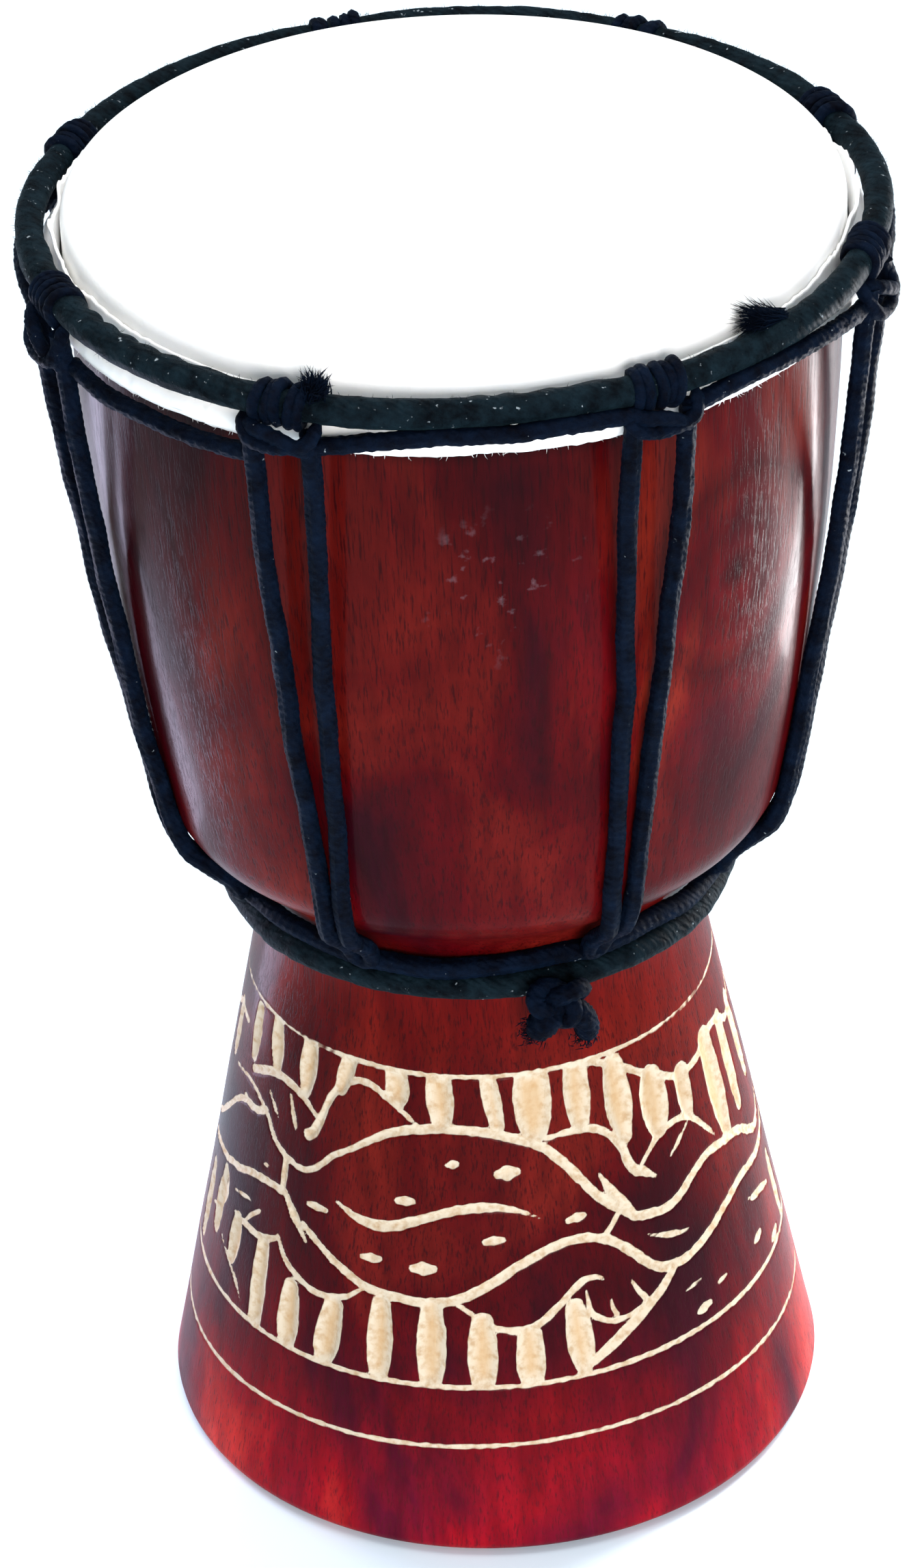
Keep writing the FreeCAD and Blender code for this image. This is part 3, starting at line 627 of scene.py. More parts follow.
def followed(name, points):
    """Points along the smooth line whose control points are given as radius, azimuth and height.

    The line is read from a NURBS curve with no thickness and then divided evenly by length.
    """
    radius, azimuth, height = np.array(points, float).T
    steered = place(radius, azimuth, height)
    data = bpy.data.curves.new(f"{name}_route", "CURVE")
    data.dimensions = "3D"
    route = data.splines.new("NURBS")
    route.points.add(len(steered) - 1)
    route.points.foreach_set("co", np.column_stack([steered, np.ones(len(steered))]).ravel())
    route.order_u = 3
    route.use_endpoint_u = True
    data.resolution_u = 24
    holder = bpy.data.objects.new(f"{name}_route", data)
    bpy.context.scene.collection.objects.link(holder)
    bpy.context.view_layer.update()
    read = bpy.data.meshes.new_from_object(holder)
    line = np.empty(len(read.vertices) * 3)
    read.vertices.foreach_get("co", line)
    line = line.reshape(-1, 3)
    bpy.data.objects.remove(holder)
    bpy.data.meshes.remove(read)
    gone = np.concatenate([[0], np.cumsum(np.linalg.norm(np.diff(line, axis=0), axis=1))])
    even = np.linspace(0, gone[-1], max(12, int(gone[-1] / CORD_STEP / 0.001)))
    return np.column_stack([np.interp(even, gone, line[:, axis]) for axis in range(3)])


def cord_skin(line, half, seed, closed=False, sides=24, outward=None, taper=0.0, plait=2.6):
    """Points and faces of a plaited cord along a line.

    The section's radius is the half width plus a plait: the product of two waves that wind round
    the cord in opposite ways, one crossing every plait millimetres, plus slow lumps. The section is
    set out from the direction away from the drum's axis, taken square to the line.
    """
    if closed:
        ahead = np.roll(line, -1, axis=0) - np.roll(line, 1, axis=0)
    else:
        ahead = np.gradient(line, axis=0)
    ahead /= np.linalg.norm(ahead, axis=1, keepdims=True)
    if outward is None:
        outward = line * (1, 1, 0)
    outward = outward - (outward * ahead).sum(axis=1, keepdims=True) * ahead
    outward /= np.linalg.norm(outward, axis=1, keepdims=True)
    beside = np.cross(ahead, outward)
    gone = np.concatenate([[0], np.cumsum(np.linalg.norm(np.diff(line, axis=0), axis=1))]) * 1000
    length = gone[-1] + (np.linalg.norm(line[0] - line[-1]) * 1000 if closed else 0)
    crossings = max(1, round(length / plait)) * 2 * np.pi / length
    about = np.linspace(0, 2 * np.pi, sides, endpoint=False)[None, :]
    run = gone[:, None]
    weave = np.cos(3 * about + crossings * run) * np.cos(3 * about - crossings * run)
    lumps = waves(about, run * 2 * np.pi / length * 40, seed, 40, 6, 10)
    size = half * (1 + 0.060 * weave + 0.070 * lumps)
    if taper:
        ends = np.minimum(gone, gone[-1] - gone)[:, None]
        size = size * np.sqrt(np.clip(0.15 + ends / taper, 0, 1))
    draw = np.random.default_rng(seed)
    marks = np.arange(0, gone[-1] + 9, 9)
    sway = np.stack([np.interp(gone, marks, draw.normal(0, 0.15, len(marks))) for _ in range(2)])
    sway = sway * (0 if closed else 1)
    middle = line + (sway[0][:, None] * outward + sway[1][:, None] * beside) * 0.001
    ring = np.cos(about)[..., None] * outward[:, None, :] + np.sin(about)[..., None] * beside[:, None, :]
    points = middle[:, None, :] + ring * size[..., None] * 0.001
    count = len(line)
    faces = [grid(count, sides, rows_closed=closed)]
    points = points.reshape(-1, 3)
    if not closed:
        turn = np.arange(sides)
        beyond = (turn + 1) % sides
        last = (count - 1) * sides
        points = np.vstack([points, middle[:1], middle[-1:]])
        faces.append(np.column_stack([np.full(sides, count * sides), turn, beyond]))
        faces.append(np.column_stack([np.full(sides, count * sides + 1), last + beyond, last + turn]))
    return points, [part[:, ::-1] for part in faces]


def joined_piece(name, parts, finish, stands_for):
    """One piece from several cord skins."""
    points, faces, first = [], [], 0
    for part_points, part_faces in parts:
        points.append(part_points)
        faces.extend(part + first for part in part_faces)
        first += len(part_points)
    new_piece(name, np.vstack(points), faces, finish, stands_for)


def strands(number, top, low, bow, finish):
    """A pair of strands: down the bowl, round under it, through the waist ring and up again.

    Down the bowl the pair may bow aside by some degrees where it leans on the wood.
    """
    route = []
    for side in (-1, 1):
        hip = low + 0.15 * (top - low) + side * 2.0
        near_hip = low + 0.32 * (top - low) + side * 2.25 + bow
        half_way = low + 0.58 * (top - low) + side * 3.0 + 0.9 * bow
        run = [
            (58.6, top + side * 4.1, 192.6),
            (57.6, top + side * 4.1, 181.0),
            (53.0, half_way, 148.5),
            (48.2, near_hip, 121.5),
            (45.6, hip + 0.6 * bow, 105.3),
            (41.4, low + side * 1.9, 101.8),
            (38.7, low + side * 2.05, 99.2),
            (37.6, low + side * 2.05, 97.4),
        ]
        route.append(run)
    turn = [(37.0, low - 1.5, 96.0), (37.0, low + 1.5, 96.0)]
    line = followed(f"strand_{number}", route[0] + turn + route[1][::-1])
    parts = [cord_skin(line, CORD_HALF, 40 + number)]
    joined_piece(f"strand_pair_{number}", parts, finish, [f"lacing_{number}"])


def ring_hitch(number, top, drop, finish):
    """Cord wound five times round the crown ring: a circle round the ring's circle, moving along it.

    The circle is drawn out downwards, and two loops cross the foot of the turns, lower by drop.
    """
    turns, steps = 5.0, 460
    draw = np.random.default_rng(70 + number)
    share = np.linspace(0, 1, steps)
    wound = 2 * np.pi * turns * share + math.radians(200)
    wobble = np.interp(share, np.linspace(0, 1, 14), draw.uniform(-1, 1, 14))
    slack = np.interp(share, np.linspace(0, 1, 12), draw.uniform(-1, 1, 12))
    azimuth = top + (share - 0.5) * 7.2 + 0.5 * wobble
    reach = 2.22 + 0.14 * slack
    sunk = 1 + 0.34 * np.clip(-np.sin(wound), 0, 1)
    out = CROWN_RADIUS - 0.35 + reach * np.cos(wound)
    rise = CROWN_HEIGHT - 0.25 + reach * sunk * np.sin(wound)
    line = place(out, azimuth, rise)
    outward = line - place(np.full(steps, CROWN_RADIUS), azimuth, np.full(steps, CROWN_HEIGHT))
    parts = [cord_skin(line, TURN_HALF, 90 + number, outward=outward, sides=16, plait=2.0)]
    # the two loops that the strands hang from
    loop = followed(f"collar_{number}", [
        (57.8, top - 5.2, 193.9), (59.8, top - 4.8, 192.0 - drop), (60.4, top - 1.5, 191.2 - drop),
        (60.3, top + 2.4, 191.6 - drop), (59.8, top + 4.8, 192.3 - drop), (58.0, top + 5.0, 194.2),
    ])
    parts.append(cord_skin(loop, LOOP_HALF, 110 + number, taper=1.6))
    loop = followed(f"half_turn_{number}", [
        (58.0, top - 4.6, 193.4), (59.9, top - 3.6, 192.6), (60.5, top, 193.0 - 0.7 * drop),
        (60.2, top + 3.6, 190.8 - 0.7 * drop), (57.5, top + 4.4, 190.2 - drop),
    ])
    parts.append(cord_skin(loop, LOOP_HALF, 110 + number, taper=1.6))
    joined_piece(f"ring_hitch_{number}", parts, finish, [f"crown_hitch_{number}"])


def ring_run(number, start, end, heights, finish):
    """The cord from one hitch to the next, with the height of each of its six route points.

    Where it is high it lies against the ring's underside, and where it is low against the skin.
    """
    turned = (start + 3.4, start + 9.5, start + 0.36 * (end - start), start + 0.60 * (end - start))
    turned = turned + (end - 9.5, end - 3.4)
    points = [(56.9 + 0.36 * (height - 187), turn, height) for turn, height in zip(turned, heights)]
    parts = [cord_skin(followed(f"run_{number}", points), RUN_HALF, 130 + number, taper=1.2)]
    joined_piece(f"ring_run_{number}", parts, finish, [f"ring_span_{number}"])


def waist_binding_cord(finish):
    """The cord pulled round the neck above the waist ring: a ring that dips between the strands."""
    turn = np.linspace(0, 2 * np.pi, 760, endpoint=False)
    dips = sum(np.exp(-(np.sin((turn - math.radians(low)) / 2) * 2 / 0.09) ** 2) for _, low in STATIONS)
    radius = 35.6 + 0.25 * waves(turn, 0, 301, 40, 14, 6)
    height = 95.6 + 0.35 * waves(turn, 0, 302, 50, 18, 6) - 0.25 * dips
    line = place(radius, np.degrees(turn), height)
    parts = [cord_skin(line, NECK_CORD_HALF, 303, closed=True)]
    joined_piece("neck_cord", parts, finish, ["waist_cord"])


def tuft(name, base, lean, count, long, spread, seed, finish, stands_for, width=0.00010):
    """The loose fibres of a cut cord end, fanning out from base towards lean."""
    draw = np.random.default_rng(seed)
    middle = place(*[np.array([part], float) for part in base])[0]
    far = place(*[np.array([part], float) for part in lean])[0]
    way = far - middle
    roots = middle + draw.normal(0, spread * 0.0006, (count, 3))
    ways = way / np.linalg.norm(way) + draw.normal(0, 0.34 * spread, (count, 3))
    lengths = long * 0.001 * draw.uniform(0.45, 1.0, count)
    whiskers(name, roots, ways, lengths, width, seed, finish, stands_for)


# ---------------------------------------------------------------- finishes

def set_out(groups):
    """Puts each group of nodes in its frame, side by side."""
    for row, (around, members) in enumerate(groups):
        for step, node in enumerate(members):
            node.parent = around
            node.location = (step * 230, -row * 420)


def stained_wood():
    """Red-brown stained and varnished wood, bare and pale in the cuts, with light and shade painted over
    the height.
    """
    finish = bpy.data.materials.new("stained_wood")
    finish.use_nodes = True
    nodes, links = finish.node_tree.nodes, finish.node_tree.links
    nodes.clear()
    grain_frame = nodes.new("NodeFrame")
    grain_frame.label = "grain and pores"
    tone_frame = nodes.new("NodeFrame")
    tone_frame.label = "tone with painted light and shade over the height"
    knot_frame = nodes.new("NodeFrame")
    knot_frame.label = "knot and rubbed spots"
    cut_frame = nodes.new("NodeFrame")
    cut_frame.label = "bare wood in the cuts"
    gloss_frame = nodes.new("NodeFrame")
    gloss_frame.label = "varnish and relief"

    place_node = nodes.new("ShaderNodeTexCoord")
    place_node.label = "place on the drum"
    stretch = nodes.new("ShaderNodeMapping")
    stretch.label = "fibres run up the drum"
    pores = nodes.new("ShaderNodeTexNoise")
    pores.label = "pore dashes"
    pore_edge = nodes.new("ShaderNodeMapRange")
    pore_edge.label = "only the deepest are pores"
    figure_stretch = nodes.new("ShaderNodeMapping")
    figure_stretch.label = "bands lean across the bowl"
    figure = nodes.new("ShaderNodeTexNoise")
    figure.label = "broad figure"
    figure_tone = nodes.new("ShaderNodeValToRGB")
    figure_tone.label = "stain over the figure"
    streaks = nodes.new("ShaderNodeTexNoise")
    streaks.label = "fine streaks"
    streak_mix = nodes.new("ShaderNodeMix")
    streak_mix.label = "streaks over the stain"
    pore_mix = nodes.new("ShaderNodeMix")
    pore_mix.label = "dark pores"
    parts = nodes.new("ShaderNodeSeparateXYZ")
    parts.label = "height"
    height_share = nodes.new("ShaderNodeMath")
    height_share.label = "share of the drum's height"
    tone_and_painted_light = nodes.new("ShaderNodeValToRGB")
    tone_and_painted_light.label = "redder neck with painted light and shade"
    tone_and_painted_light_mix = nodes.new("ShaderNodeMix")
    tone_and_painted_light_mix.label = "tone with painted light and shade over the height"
    knot_gap = nodes.new("ShaderNodeVectorMath")
    knot_gap.label = "distance from the knot"
    knot_rings = nodes.new("ShaderNodeMath")
    knot_rings.label = "bent by the figure"
    knot_tone = nodes.new("ShaderNodeValToRGB")
    knot_tone.label = "dark eye and ring"
    knot_mix = nodes.new("ShaderNodeMix")
    knot_mix.label = "knot"
    spot_gap = nodes.new("ShaderNodeVectorMath")
    spot_gap.label = "distance from the rubbed place"
    spot_near = nodes.new("ShaderNodeMapRange")
    spot_near.label = "only near it"
    spots = nodes.new("ShaderNodeTexNoise")
    spots.label = "rubbed spots"
    spot_edge = nodes.new("ShaderNodeMapRange")
    spot_edge.label = "few and small"
    spot_share = nodes.new("ShaderNodeMath")
    spot_share.label = "spots near the place"
    spot_mix = nodes.new("ShaderNodeMix")
    spot_mix.label = "whitish rubs"
    cut = nodes.new("ShaderNodeAttribute")
    cut.label = "distance into the cut, mm"
    cut_mask = nodes.new("ShaderNodeMapRange")
    cut_mask.label = "inside a cut"
    cut_deep = nodes.new("ShaderNodeMapRange")
    cut_deep.label = "deep in a cut"
    chisel = nodes.new("ShaderNodeTexNoise")
    chisel.label = "gouge marks"
    chisel_tone = nodes.new("ShaderNodeValToRGB")
    chisel_tone.label = "pale and tan wood"
    deep_mix = nodes.new("ShaderNodeMix")
    deep_mix.label = "tan at the bottom"
    cut_mix = nodes.new("ShaderNodeMix")
    cut_mix.label = "cuts over the stain"
    rough_noise = nodes.new("ShaderNodeTexNoise")
    rough_noise.label = "uneven varnish"
    rough_range = nodes.new("ShaderNodeMapRange")
    rough_range.label = "satin to glossy"
    rough_mix = nodes.new("ShaderNodeMix")
    rough_mix.label = "matt in the cuts"
    relief = nodes.new("ShaderNodeMath")
    relief.label = "pores sink, figure swells"
    bump = nodes.new("ShaderNodeBump")
    bump.label = "pores and streaks"
    chisel_bump = nodes.new("ShaderNodeBump")
    chisel_bump.label = "gouge marks in the cuts"
    shader = nodes.new("ShaderNodeBsdfPrincipled")
    shader.label = "wood"
    output = nodes.new("ShaderNodeOutputMaterial")
    output.label = "shell"
    set_out([
        (grain_frame, (place_node, stretch, pores, pore_edge, figure_stretch, figure, figure_tone)),
        (tone_frame, (streaks, streak_mix, pore_mix, parts, height_share, tone_and_painted_light, tone_and_painted_light_mix)),
        (knot_frame, (knot_gap, knot_rings, knot_tone, knot_mix, spot_gap, spot_near)),
        (knot_frame, (spots, spot_edge, spot_share, spot_mix)),
        (cut_frame, (cut, cut_mask, cut_deep, chisel, chisel_tone, deep_mix, cut_mix)),
        (gloss_frame, (rough_noise, rough_range, rough_mix, relief, bump, chisel_bump, shader, output)),
    ])

    stretch.inputs["Scale"].default_value = (1.0, 1.0, 0.07)
    pores.inputs["Scale"].default_value = 3100
    pores.inputs["Detail"].default_value = 3
    pores.inputs["Roughness"].default_value = 0.6
    pore_edge.inputs["From Min"].default_value = 0.52
    pore_edge.inputs["From Max"].default_value = 0.66
    pore_edge.inputs["To Max"].default_value = 0.72
    figure_stretch.inputs["Rotation"].default_value = (0.35, 0.5, 0.3)
    figure_stretch.inputs["Scale"].default_value = (1.0, 1.0, 0.55)
    figure.inputs["Scale"].default_value = 34
    figure.inputs["Detail"].default_value = 5
    figure.inputs["Distortion"].default_value = 0.9
    figure_tone.color_ramp.elements[0].position = 0.34
    figure_tone.color_ramp.elements[0].color = (0.019, 0.0006, 0.0028, 1)
    figure_tone.color_ramp.elements[1].position = 0.72
    figure_tone.color_ramp.elements[1].color = (0.145, 0.0095, 0.0050, 1)
    figure_tone.color_ramp.elements.new(0.50).color = (0.060, 0.0008, 0.0018, 1)
    streaks.inputs["Scale"].default_value = 420
    streaks.inputs["Detail"].default_value = 5
    streaks.inputs["Roughness"].default_value = 0.65
    streak_mix.data_type = "RGBA"
    streak_mix.blend_type = "OVERLAY"
    streak_mix.inputs["Factor"].default_value = 0.75
    pore_mix.data_type = "RGBA"
    pore_mix.inputs["B"].default_value = (0.018, 0.0012, 0.002, 1)
    height_share.operation = "MULTIPLY"
    height_share.inputs[1].default_value = 5.0
    # multiplied over the height: brighter and a little bluer towards the foot, which is painted light and
    # haze where the foot faces up to the lamps; darker towards the top, which is painted shade under the
    # ring; and a dark band just under the skin's roll, which is its painted shadow. The redder stop at the
    # neck is the stain's own tone
    tone_and_painted_light.color_ramp.elements[0].position = 0.0
    tone_and_painted_light.color_ramp.elements[0].color = (5.2, 5.0, 6.0, 1)
    tone_and_painted_light.color_ramp.elements[1].position = 1.0
    tone_and_painted_light.color_ramp.elements[1].color = (0.15, 0.15, 0.2, 1)
    for position, colour in (
        (0.10, (2.4, 2.2, 2.5, 1)),
        (0.20, (1.0, 0.90, 1.1, 1)),
        (0.36, (0.92, 0.8, 0.8, 1)),
        (0.43, (1.15, 0.5, 0.4, 1)),
        (0.52, (1.1, 1.2, 1.4, 1)),
        (0.72, (0.95, 0.9, 0.9, 1)),
        (0.84, (0.70, 0.6, 0.7, 1)),
        # these two stops paint the shadow that the skin's roll casts on the wood
        (0.927, (0.66, 0.6, 0.7, 1)),
        (0.939, (0.10, 0.1, 0.15, 1)),
    ):
        tone_and_painted_light.color_ramp.elements.new(position).color = colour
    tone_and_painted_light_mix.data_type = "RGBA"
    tone_and_painted_light_mix.blend_type = "MULTIPLY"
    tone_and_painted_light_mix.inputs["Factor"].default_value = 1
    knot_gap.operation = "DISTANCE"
    knot_gap.inputs[1].default_value = (0.0350, -0.0360, 0.1590)
    knot_rings.operation = "MULTIPLY_ADD"
    knot_rings.inputs[1].default_value = 0.008
    knot_tone.color_ramp.interpolation = "EASE"
    knot_tone.color_ramp.elements[0].position = 0.0
    knot_tone.color_ramp.elements[0].color = (0.35, 0.45, 0.50, 1)
    knot_tone.color_ramp.elements[1].position = 0.040
    knot_tone.color_ramp.elements[1].color = (1, 1, 1, 1)
    for position, colour in (
        (0.0062, (0.30, 0.35, 0.42, 1)),
        (0.0082, (1.9, 3.2, 2.4, 1)),
        (0.0102, (0.80, 1.0, 1.0, 1)),
        (0.0140, (2.1, 4.2, 2.8, 1)),
        (0.0185, (0.95, 1.3, 1.3, 1)),
        (0.0250, (1.9, 3.2, 2.2, 1)),
    ):
        knot_tone.color_ramp.elements.new(position).color = colour
    knot_mix.data_type = "RGBA"
    knot_mix.blend_type = "MULTIPLY"
    knot_mix.inputs["Factor"].default_value = 1
    spot_gap.operation = "DISTANCE"
    spot_gap.inputs[1].default_value = (0.0045, -0.0500, 0.1665)
    spot_near.inputs["From Min"].default_value = 0.014
    spot_near.inputs["From Max"].default_value = 0.004
    spots.inputs["Scale"].default_value = 430
    spots.inputs["Detail"].default_value = 4
    spot_edge.inputs["From Min"].default_value = 0.62
    spot_edge.inputs["From Max"].default_value = 0.78
    spot_edge.inputs["To Max"].default_value = 0.36
    spot_share.operation = "MULTIPLY"
    spot_mix.data_type = "RGBA"
    spot_mix.inputs["B"].default_value = (0.30, 0.22, 0.26, 1)
    cut.attribute_name = "cut"
    cut_mask.interpolation_type = "SMOOTHSTEP"
    cut_mask.inputs["From Min"].default_value = 0.07
    cut_mask.inputs["From Max"].default_value = -0.10
    cut_deep.inputs["From Min"].default_value = -0.55
    cut_deep.inputs["From Max"].default_value = -1.9
    cut_deep.inputs["To Max"].default_value = 0.7
    chisel.inputs["Scale"].default_value = 900
    chisel.inputs["Detail"].default_value = 4
    chisel_tone.color_ramp.elements[0].position = 0.28
    chisel_tone.color_ramp.elements[0].color = (0.46, 0.31, 0.18, 1)
    chisel_tone.color_ramp.elements[1].position = 0.56
    chisel_tone.color_ramp.elements[1].color = (0.62, 0.52, 0.39, 1)
    deep_mix.data_type = "RGBA"
    deep_mix.inputs["B"].default_value = (0.52, 0.32, 0.15, 1)
    cut_mix.data_type = "RGBA"
    rough_noise.inputs["Scale"].default_value = 60
    rough_noise.inputs["Detail"].default_value = 5
    rough_range.inputs["To Min"].default_value = 0.24
    rough_range.inputs["To Max"].default_value = 0.44
    rough_mix.data_type = "FLOAT"
    rough_mix.inputs["B"].default_value = 0.85
    relief.operation = "MULTIPLY_ADD"
    relief.inputs[1].default_value = -1.2
    bump.inputs["Strength"].default_value = 0.22
    bump.inputs["Distance"].default_value = 0.0002
    chisel_bump.inputs["Distance"].default_value = 0.00007
    shader.inputs["Specular IOR Level"].default_value = 0.02
    shader.inputs["Coat Weight"].default_value = 0.06
    shader.inputs["Coat Roughness"].default_value = 0.12

    links.new(place_node.outputs["Object"], stretch.inputs["Vector"])
    links.new(stretch.outputs["Vector"], pores.inputs["Vector"])
    links.new(pores.outputs["Fac"], pore_edge.inputs["Value"])
    links.new(place_node.outputs["Object"], figure_stretch.inputs["Vector"])
    links.new(figure_stretch.outputs["Vector"], figure.inputs["Vector"])
    links.new(figure.outputs["Fac"], figure_tone.inputs["Fac"])
    links.new(stretch.outputs["Vector"], streaks.inputs["Vector"])
    links.new(figure_tone.outputs["Color"], streak_mix.inputs["A"])
    links.new(streaks.outputs["Fac"], streak_mix.inputs["B"])
    links.new(pore_edge.outputs["Result"], pore_mix.inputs["Factor"])
    links.new(streak_mix.outputs["Result"], pore_mix.inputs["A"])
    links.new(place_node.outputs["Object"], parts.inputs["Vector"])
    links.new(parts.outputs["Z"], height_share.inputs[0])
    links.new(height_share.outputs["Value"], tone_and_painted_light.inputs["Fac"])
    links.new(pore_mix.outputs["Result"], tone_and_painted_light_mix.inputs["A"])
    links.new(tone_and_painted_light.outputs["Color"], tone_and_painted_light_mix.inputs["B"])
    links.new(place_node.outputs["Object"], knot_gap.inputs[0])
    links.new(figure.outputs["Fac"], knot_rings.inputs[0])
    links.new(knot_gap.outputs["Value"], knot_rings.inputs[2])
    links.new(knot_rings.outputs["Value"], knot_tone.inputs["Fac"])
    links.new(tone_and_painted_light_mix.outputs["Result"], knot_mix.inputs["A"])
    links.new(knot_tone.outputs["Color"], knot_mix.inputs["B"])
    links.new(place_node.outputs["Object"], spot_gap.inputs[0])
    links.new(spot_gap.outputs["Value"], spot_near.inputs["Value"])
    links.new(place_node.outputs["Object"], spots.inputs["Vector"])
    links.new(spots.outputs["Fac"], spot_edge.inputs["Value"])
    links.new(spot_near.outputs["Result"], spot_share.inputs[0])
    links.new(spot_edge.outputs["Result"], spot_share.inputs[1])
    links.new(spot_share.outputs["Value"], spot_mix.inputs["Factor"])
    links.new(knot_mix.outputs["Result"], spot_mix.inputs["A"])
    links.new(cut.outputs["Fac"], cut_mask.inputs["Value"])
    links.new(cut.outputs["Fac"], cut_deep.inputs["Value"])
    links.new(place_node.outputs["Object"], chisel.inputs["Vector"])
    links.new(chisel.outputs["Fac"], chisel_tone.inputs["Fac"])
    links.new(cut_deep.outputs["Result"], deep_mix.inputs["Factor"])
    links.new(chisel_tone.outputs["Color"], deep_mix.inputs["A"])
    links.new(cut_mask.outputs["Result"], cut_mix.inputs["Factor"])
    links.new(spot_mix.outputs["Result"], cut_mix.inputs["A"])
    links.new(deep_mix.outputs["Result"], cut_mix.inputs["B"])
    links.new(place_node.outputs["Object"], rough_noise.inputs["Vector"])
    links.new(rough_noise.outputs["Fac"], rough_range.inputs["Value"])
    links.new(cut_mask.outputs["Result"], rough_mix.inputs["Factor"])
    links.new(rough_range.outputs["Result"], rough_mix.inputs["A"])
    links.new(pore_edge.outputs["Result"], relief.inputs[0])
    links.new(streaks.outputs["Fac"], relief.inputs[2])
    links.new(relief.outputs["Value"], bump.inputs["Height"])
    links.new(cut_mask.outputs["Result"], chisel_bump.inputs["Strength"])
    links.new(chisel.outputs["Fac"], chisel_bump.inputs["Height"])
    links.new(bump.outputs["Normal"], chisel_bump.inputs["Normal"])
    links.new(cut_mix.outputs["Result"], shader.inputs["Base Color"])
    links.new(rough_mix.outputs["Result"], shader.inputs["Roughness"])
    links.new(chisel_bump.outputs["Normal"], shader.inputs["Normal"])
    links.new(shader.outputs["BSDF"], output.inputs["Surface"])
    return finish


def goatskin_finish():
    """Bleached goatskin: warm white, faintly mottled, with grey spots low on the strip."""
    finish = bpy.data.materials.new("goatskin")
    finish.use_nodes = True
    nodes, links = finish.node_tree.nodes, finish.node_tree.links
    nodes.clear()
    tone_frame = nodes.new("NodeFrame")
    tone_frame.label = "mottling"
    stain_frame = nodes.new("NodeFrame")
    stain_frame.label = "stains"
    relief_frame = nodes.new("NodeFrame")
    relief_frame.label = "hair pores and creases"
    place_node = nodes.new("ShaderNodeTexCoord")
    place_node.label = "place on the drum"
    clouds = nodes.new("ShaderNodeTexNoise")
    clouds.label = "cloudy thickness"
    cloud_tone = nodes.new("ShaderNodeValToRGB")
    cloud_tone.label = "white to cream"
    stain_gap = nodes.new("ShaderNodeVectorMath")
    stain_gap.label = "distance from the pink stain"
    stain_near = nodes.new("ShaderNodeMapRange")
    stain_near.label = "stain's soft edge"
    stain_mix = nodes.new("ShaderNodeMix")
    stain_mix.label = "pink stain"
    grey = nodes.new("ShaderNodeTexNoise")
    grey.label = "grey spots"
    grey_edge = nodes.new("ShaderNodeMapRange")
    grey_edge.label = "few spots"
    parts = nodes.new("ShaderNodeSeparateXYZ")
    parts.label = "height"
    low_part = nodes.new("ShaderNodeMapRange")
    low_part.label = "only on the strip"
    grey_share = nodes.new("ShaderNodeMath")
    grey_share.label = "spots on the strip"
    grey_mix = nodes.new("ShaderNodeMix")
    grey_mix.label = "grey spots"
    hair_pores = nodes.new("ShaderNodeTexVoronoi")
    hair_pores.label = "hair pores"
    creases = nodes.new("ShaderNodeTexNoise")
    creases.label = "fine creases"
    relief = nodes.new("ShaderNodeMath")
    relief.label = "pores and creases"
    bump = nodes.new("ShaderNodeBump")
    bump.label = "skin relief"
    shader = nodes.new("ShaderNodeBsdfPrincipled")
    shader.label = "skin"
    output = nodes.new("ShaderNodeOutputMaterial")
    output.label = "head"
    set_out([
        (tone_frame, (place_node, clouds, cloud_tone)),
        (stain_frame, (stain_gap, stain_near, stain_mix)),
        (stain_frame, (grey, grey_edge, parts, low_part, grey_share, grey_mix)),
        (relief_frame, (hair_pores, creases, relief, bump, shader, output)),
    ])

    clouds.inputs["Scale"].default_value = 45
    clouds.inputs["Detail"].default_value = 6
    cloud_tone.color_ramp.elements[0].position = 0.32
    cloud_tone.color_ramp.elements[0].color = (0.93, 0.91, 0.87, 1)
    cloud_tone.color_ramp.elements[1].position = 0.6
    cloud_tone.color_ramp.elements[1].color = (0.97, 0.965, 0.95, 1)
    stain_gap.operation = "DISTANCE"
    stain_gap.inputs[1].default_value = (0.0335, 0.0365, 0.1997)
    stain_near.interpolation_type = "SMOOTHSTEP"
    stain_near.inputs["From Min"].default_value = 0.0032
    stain_near.inputs["From Max"].default_value = 0.0008
    stain_near.inputs["To Max"].default_value = 0.55
    stain_mix.data_type = "RGBA"
    stain_mix.inputs["B"].default_value = (0.90, 0.42, 0.44, 1)
    grey.inputs["Scale"].default_value = 190
    grey.inputs["Detail"].default_value = 3
    grey_edge.inputs["From Min"].default_value = 0.62
    grey_edge.inputs["From Max"].default_value = 0.74
    grey_edge.inputs["To Max"].default_value = 0.5
    low_part.inputs["From Min"].default_value = 0.1925
    low_part.inputs["From Max"].default_value = 0.1915
    grey_share.operation = "MULTIPLY"
    grey_mix.data_type = "RGBA"
    grey_mix.inputs["B"].default_value = (0.42, 0.45, 0.44, 1)
    hair_pores.inputs["Scale"].default_value = 1400
    creases.inputs["Scale"].default_value = 700
    creases.inputs["Detail"].default_value = 6
    relief.operation = "MULTIPLY_ADD"
    relief.inputs[1].default_value = 0.3
    bump.inputs["Strength"].default_value = 0.25
    bump.inputs["Distance"].default_value = 0.0002
    shader.inputs["Roughness"].default_value = 0.55
    shader.inputs["Specular IOR Level"].default_value = 0.3
    shader.inputs["Sheen Weight"].default_value = 0.12
    shader.inputs["Subsurface Weight"].default_value = 0.15
    shader.inputs["Subsurface Radius"].default_value = (1.0, 0.8, 0.6)
    shader.inputs["Subsurface Scale"].default_value = 0.0008

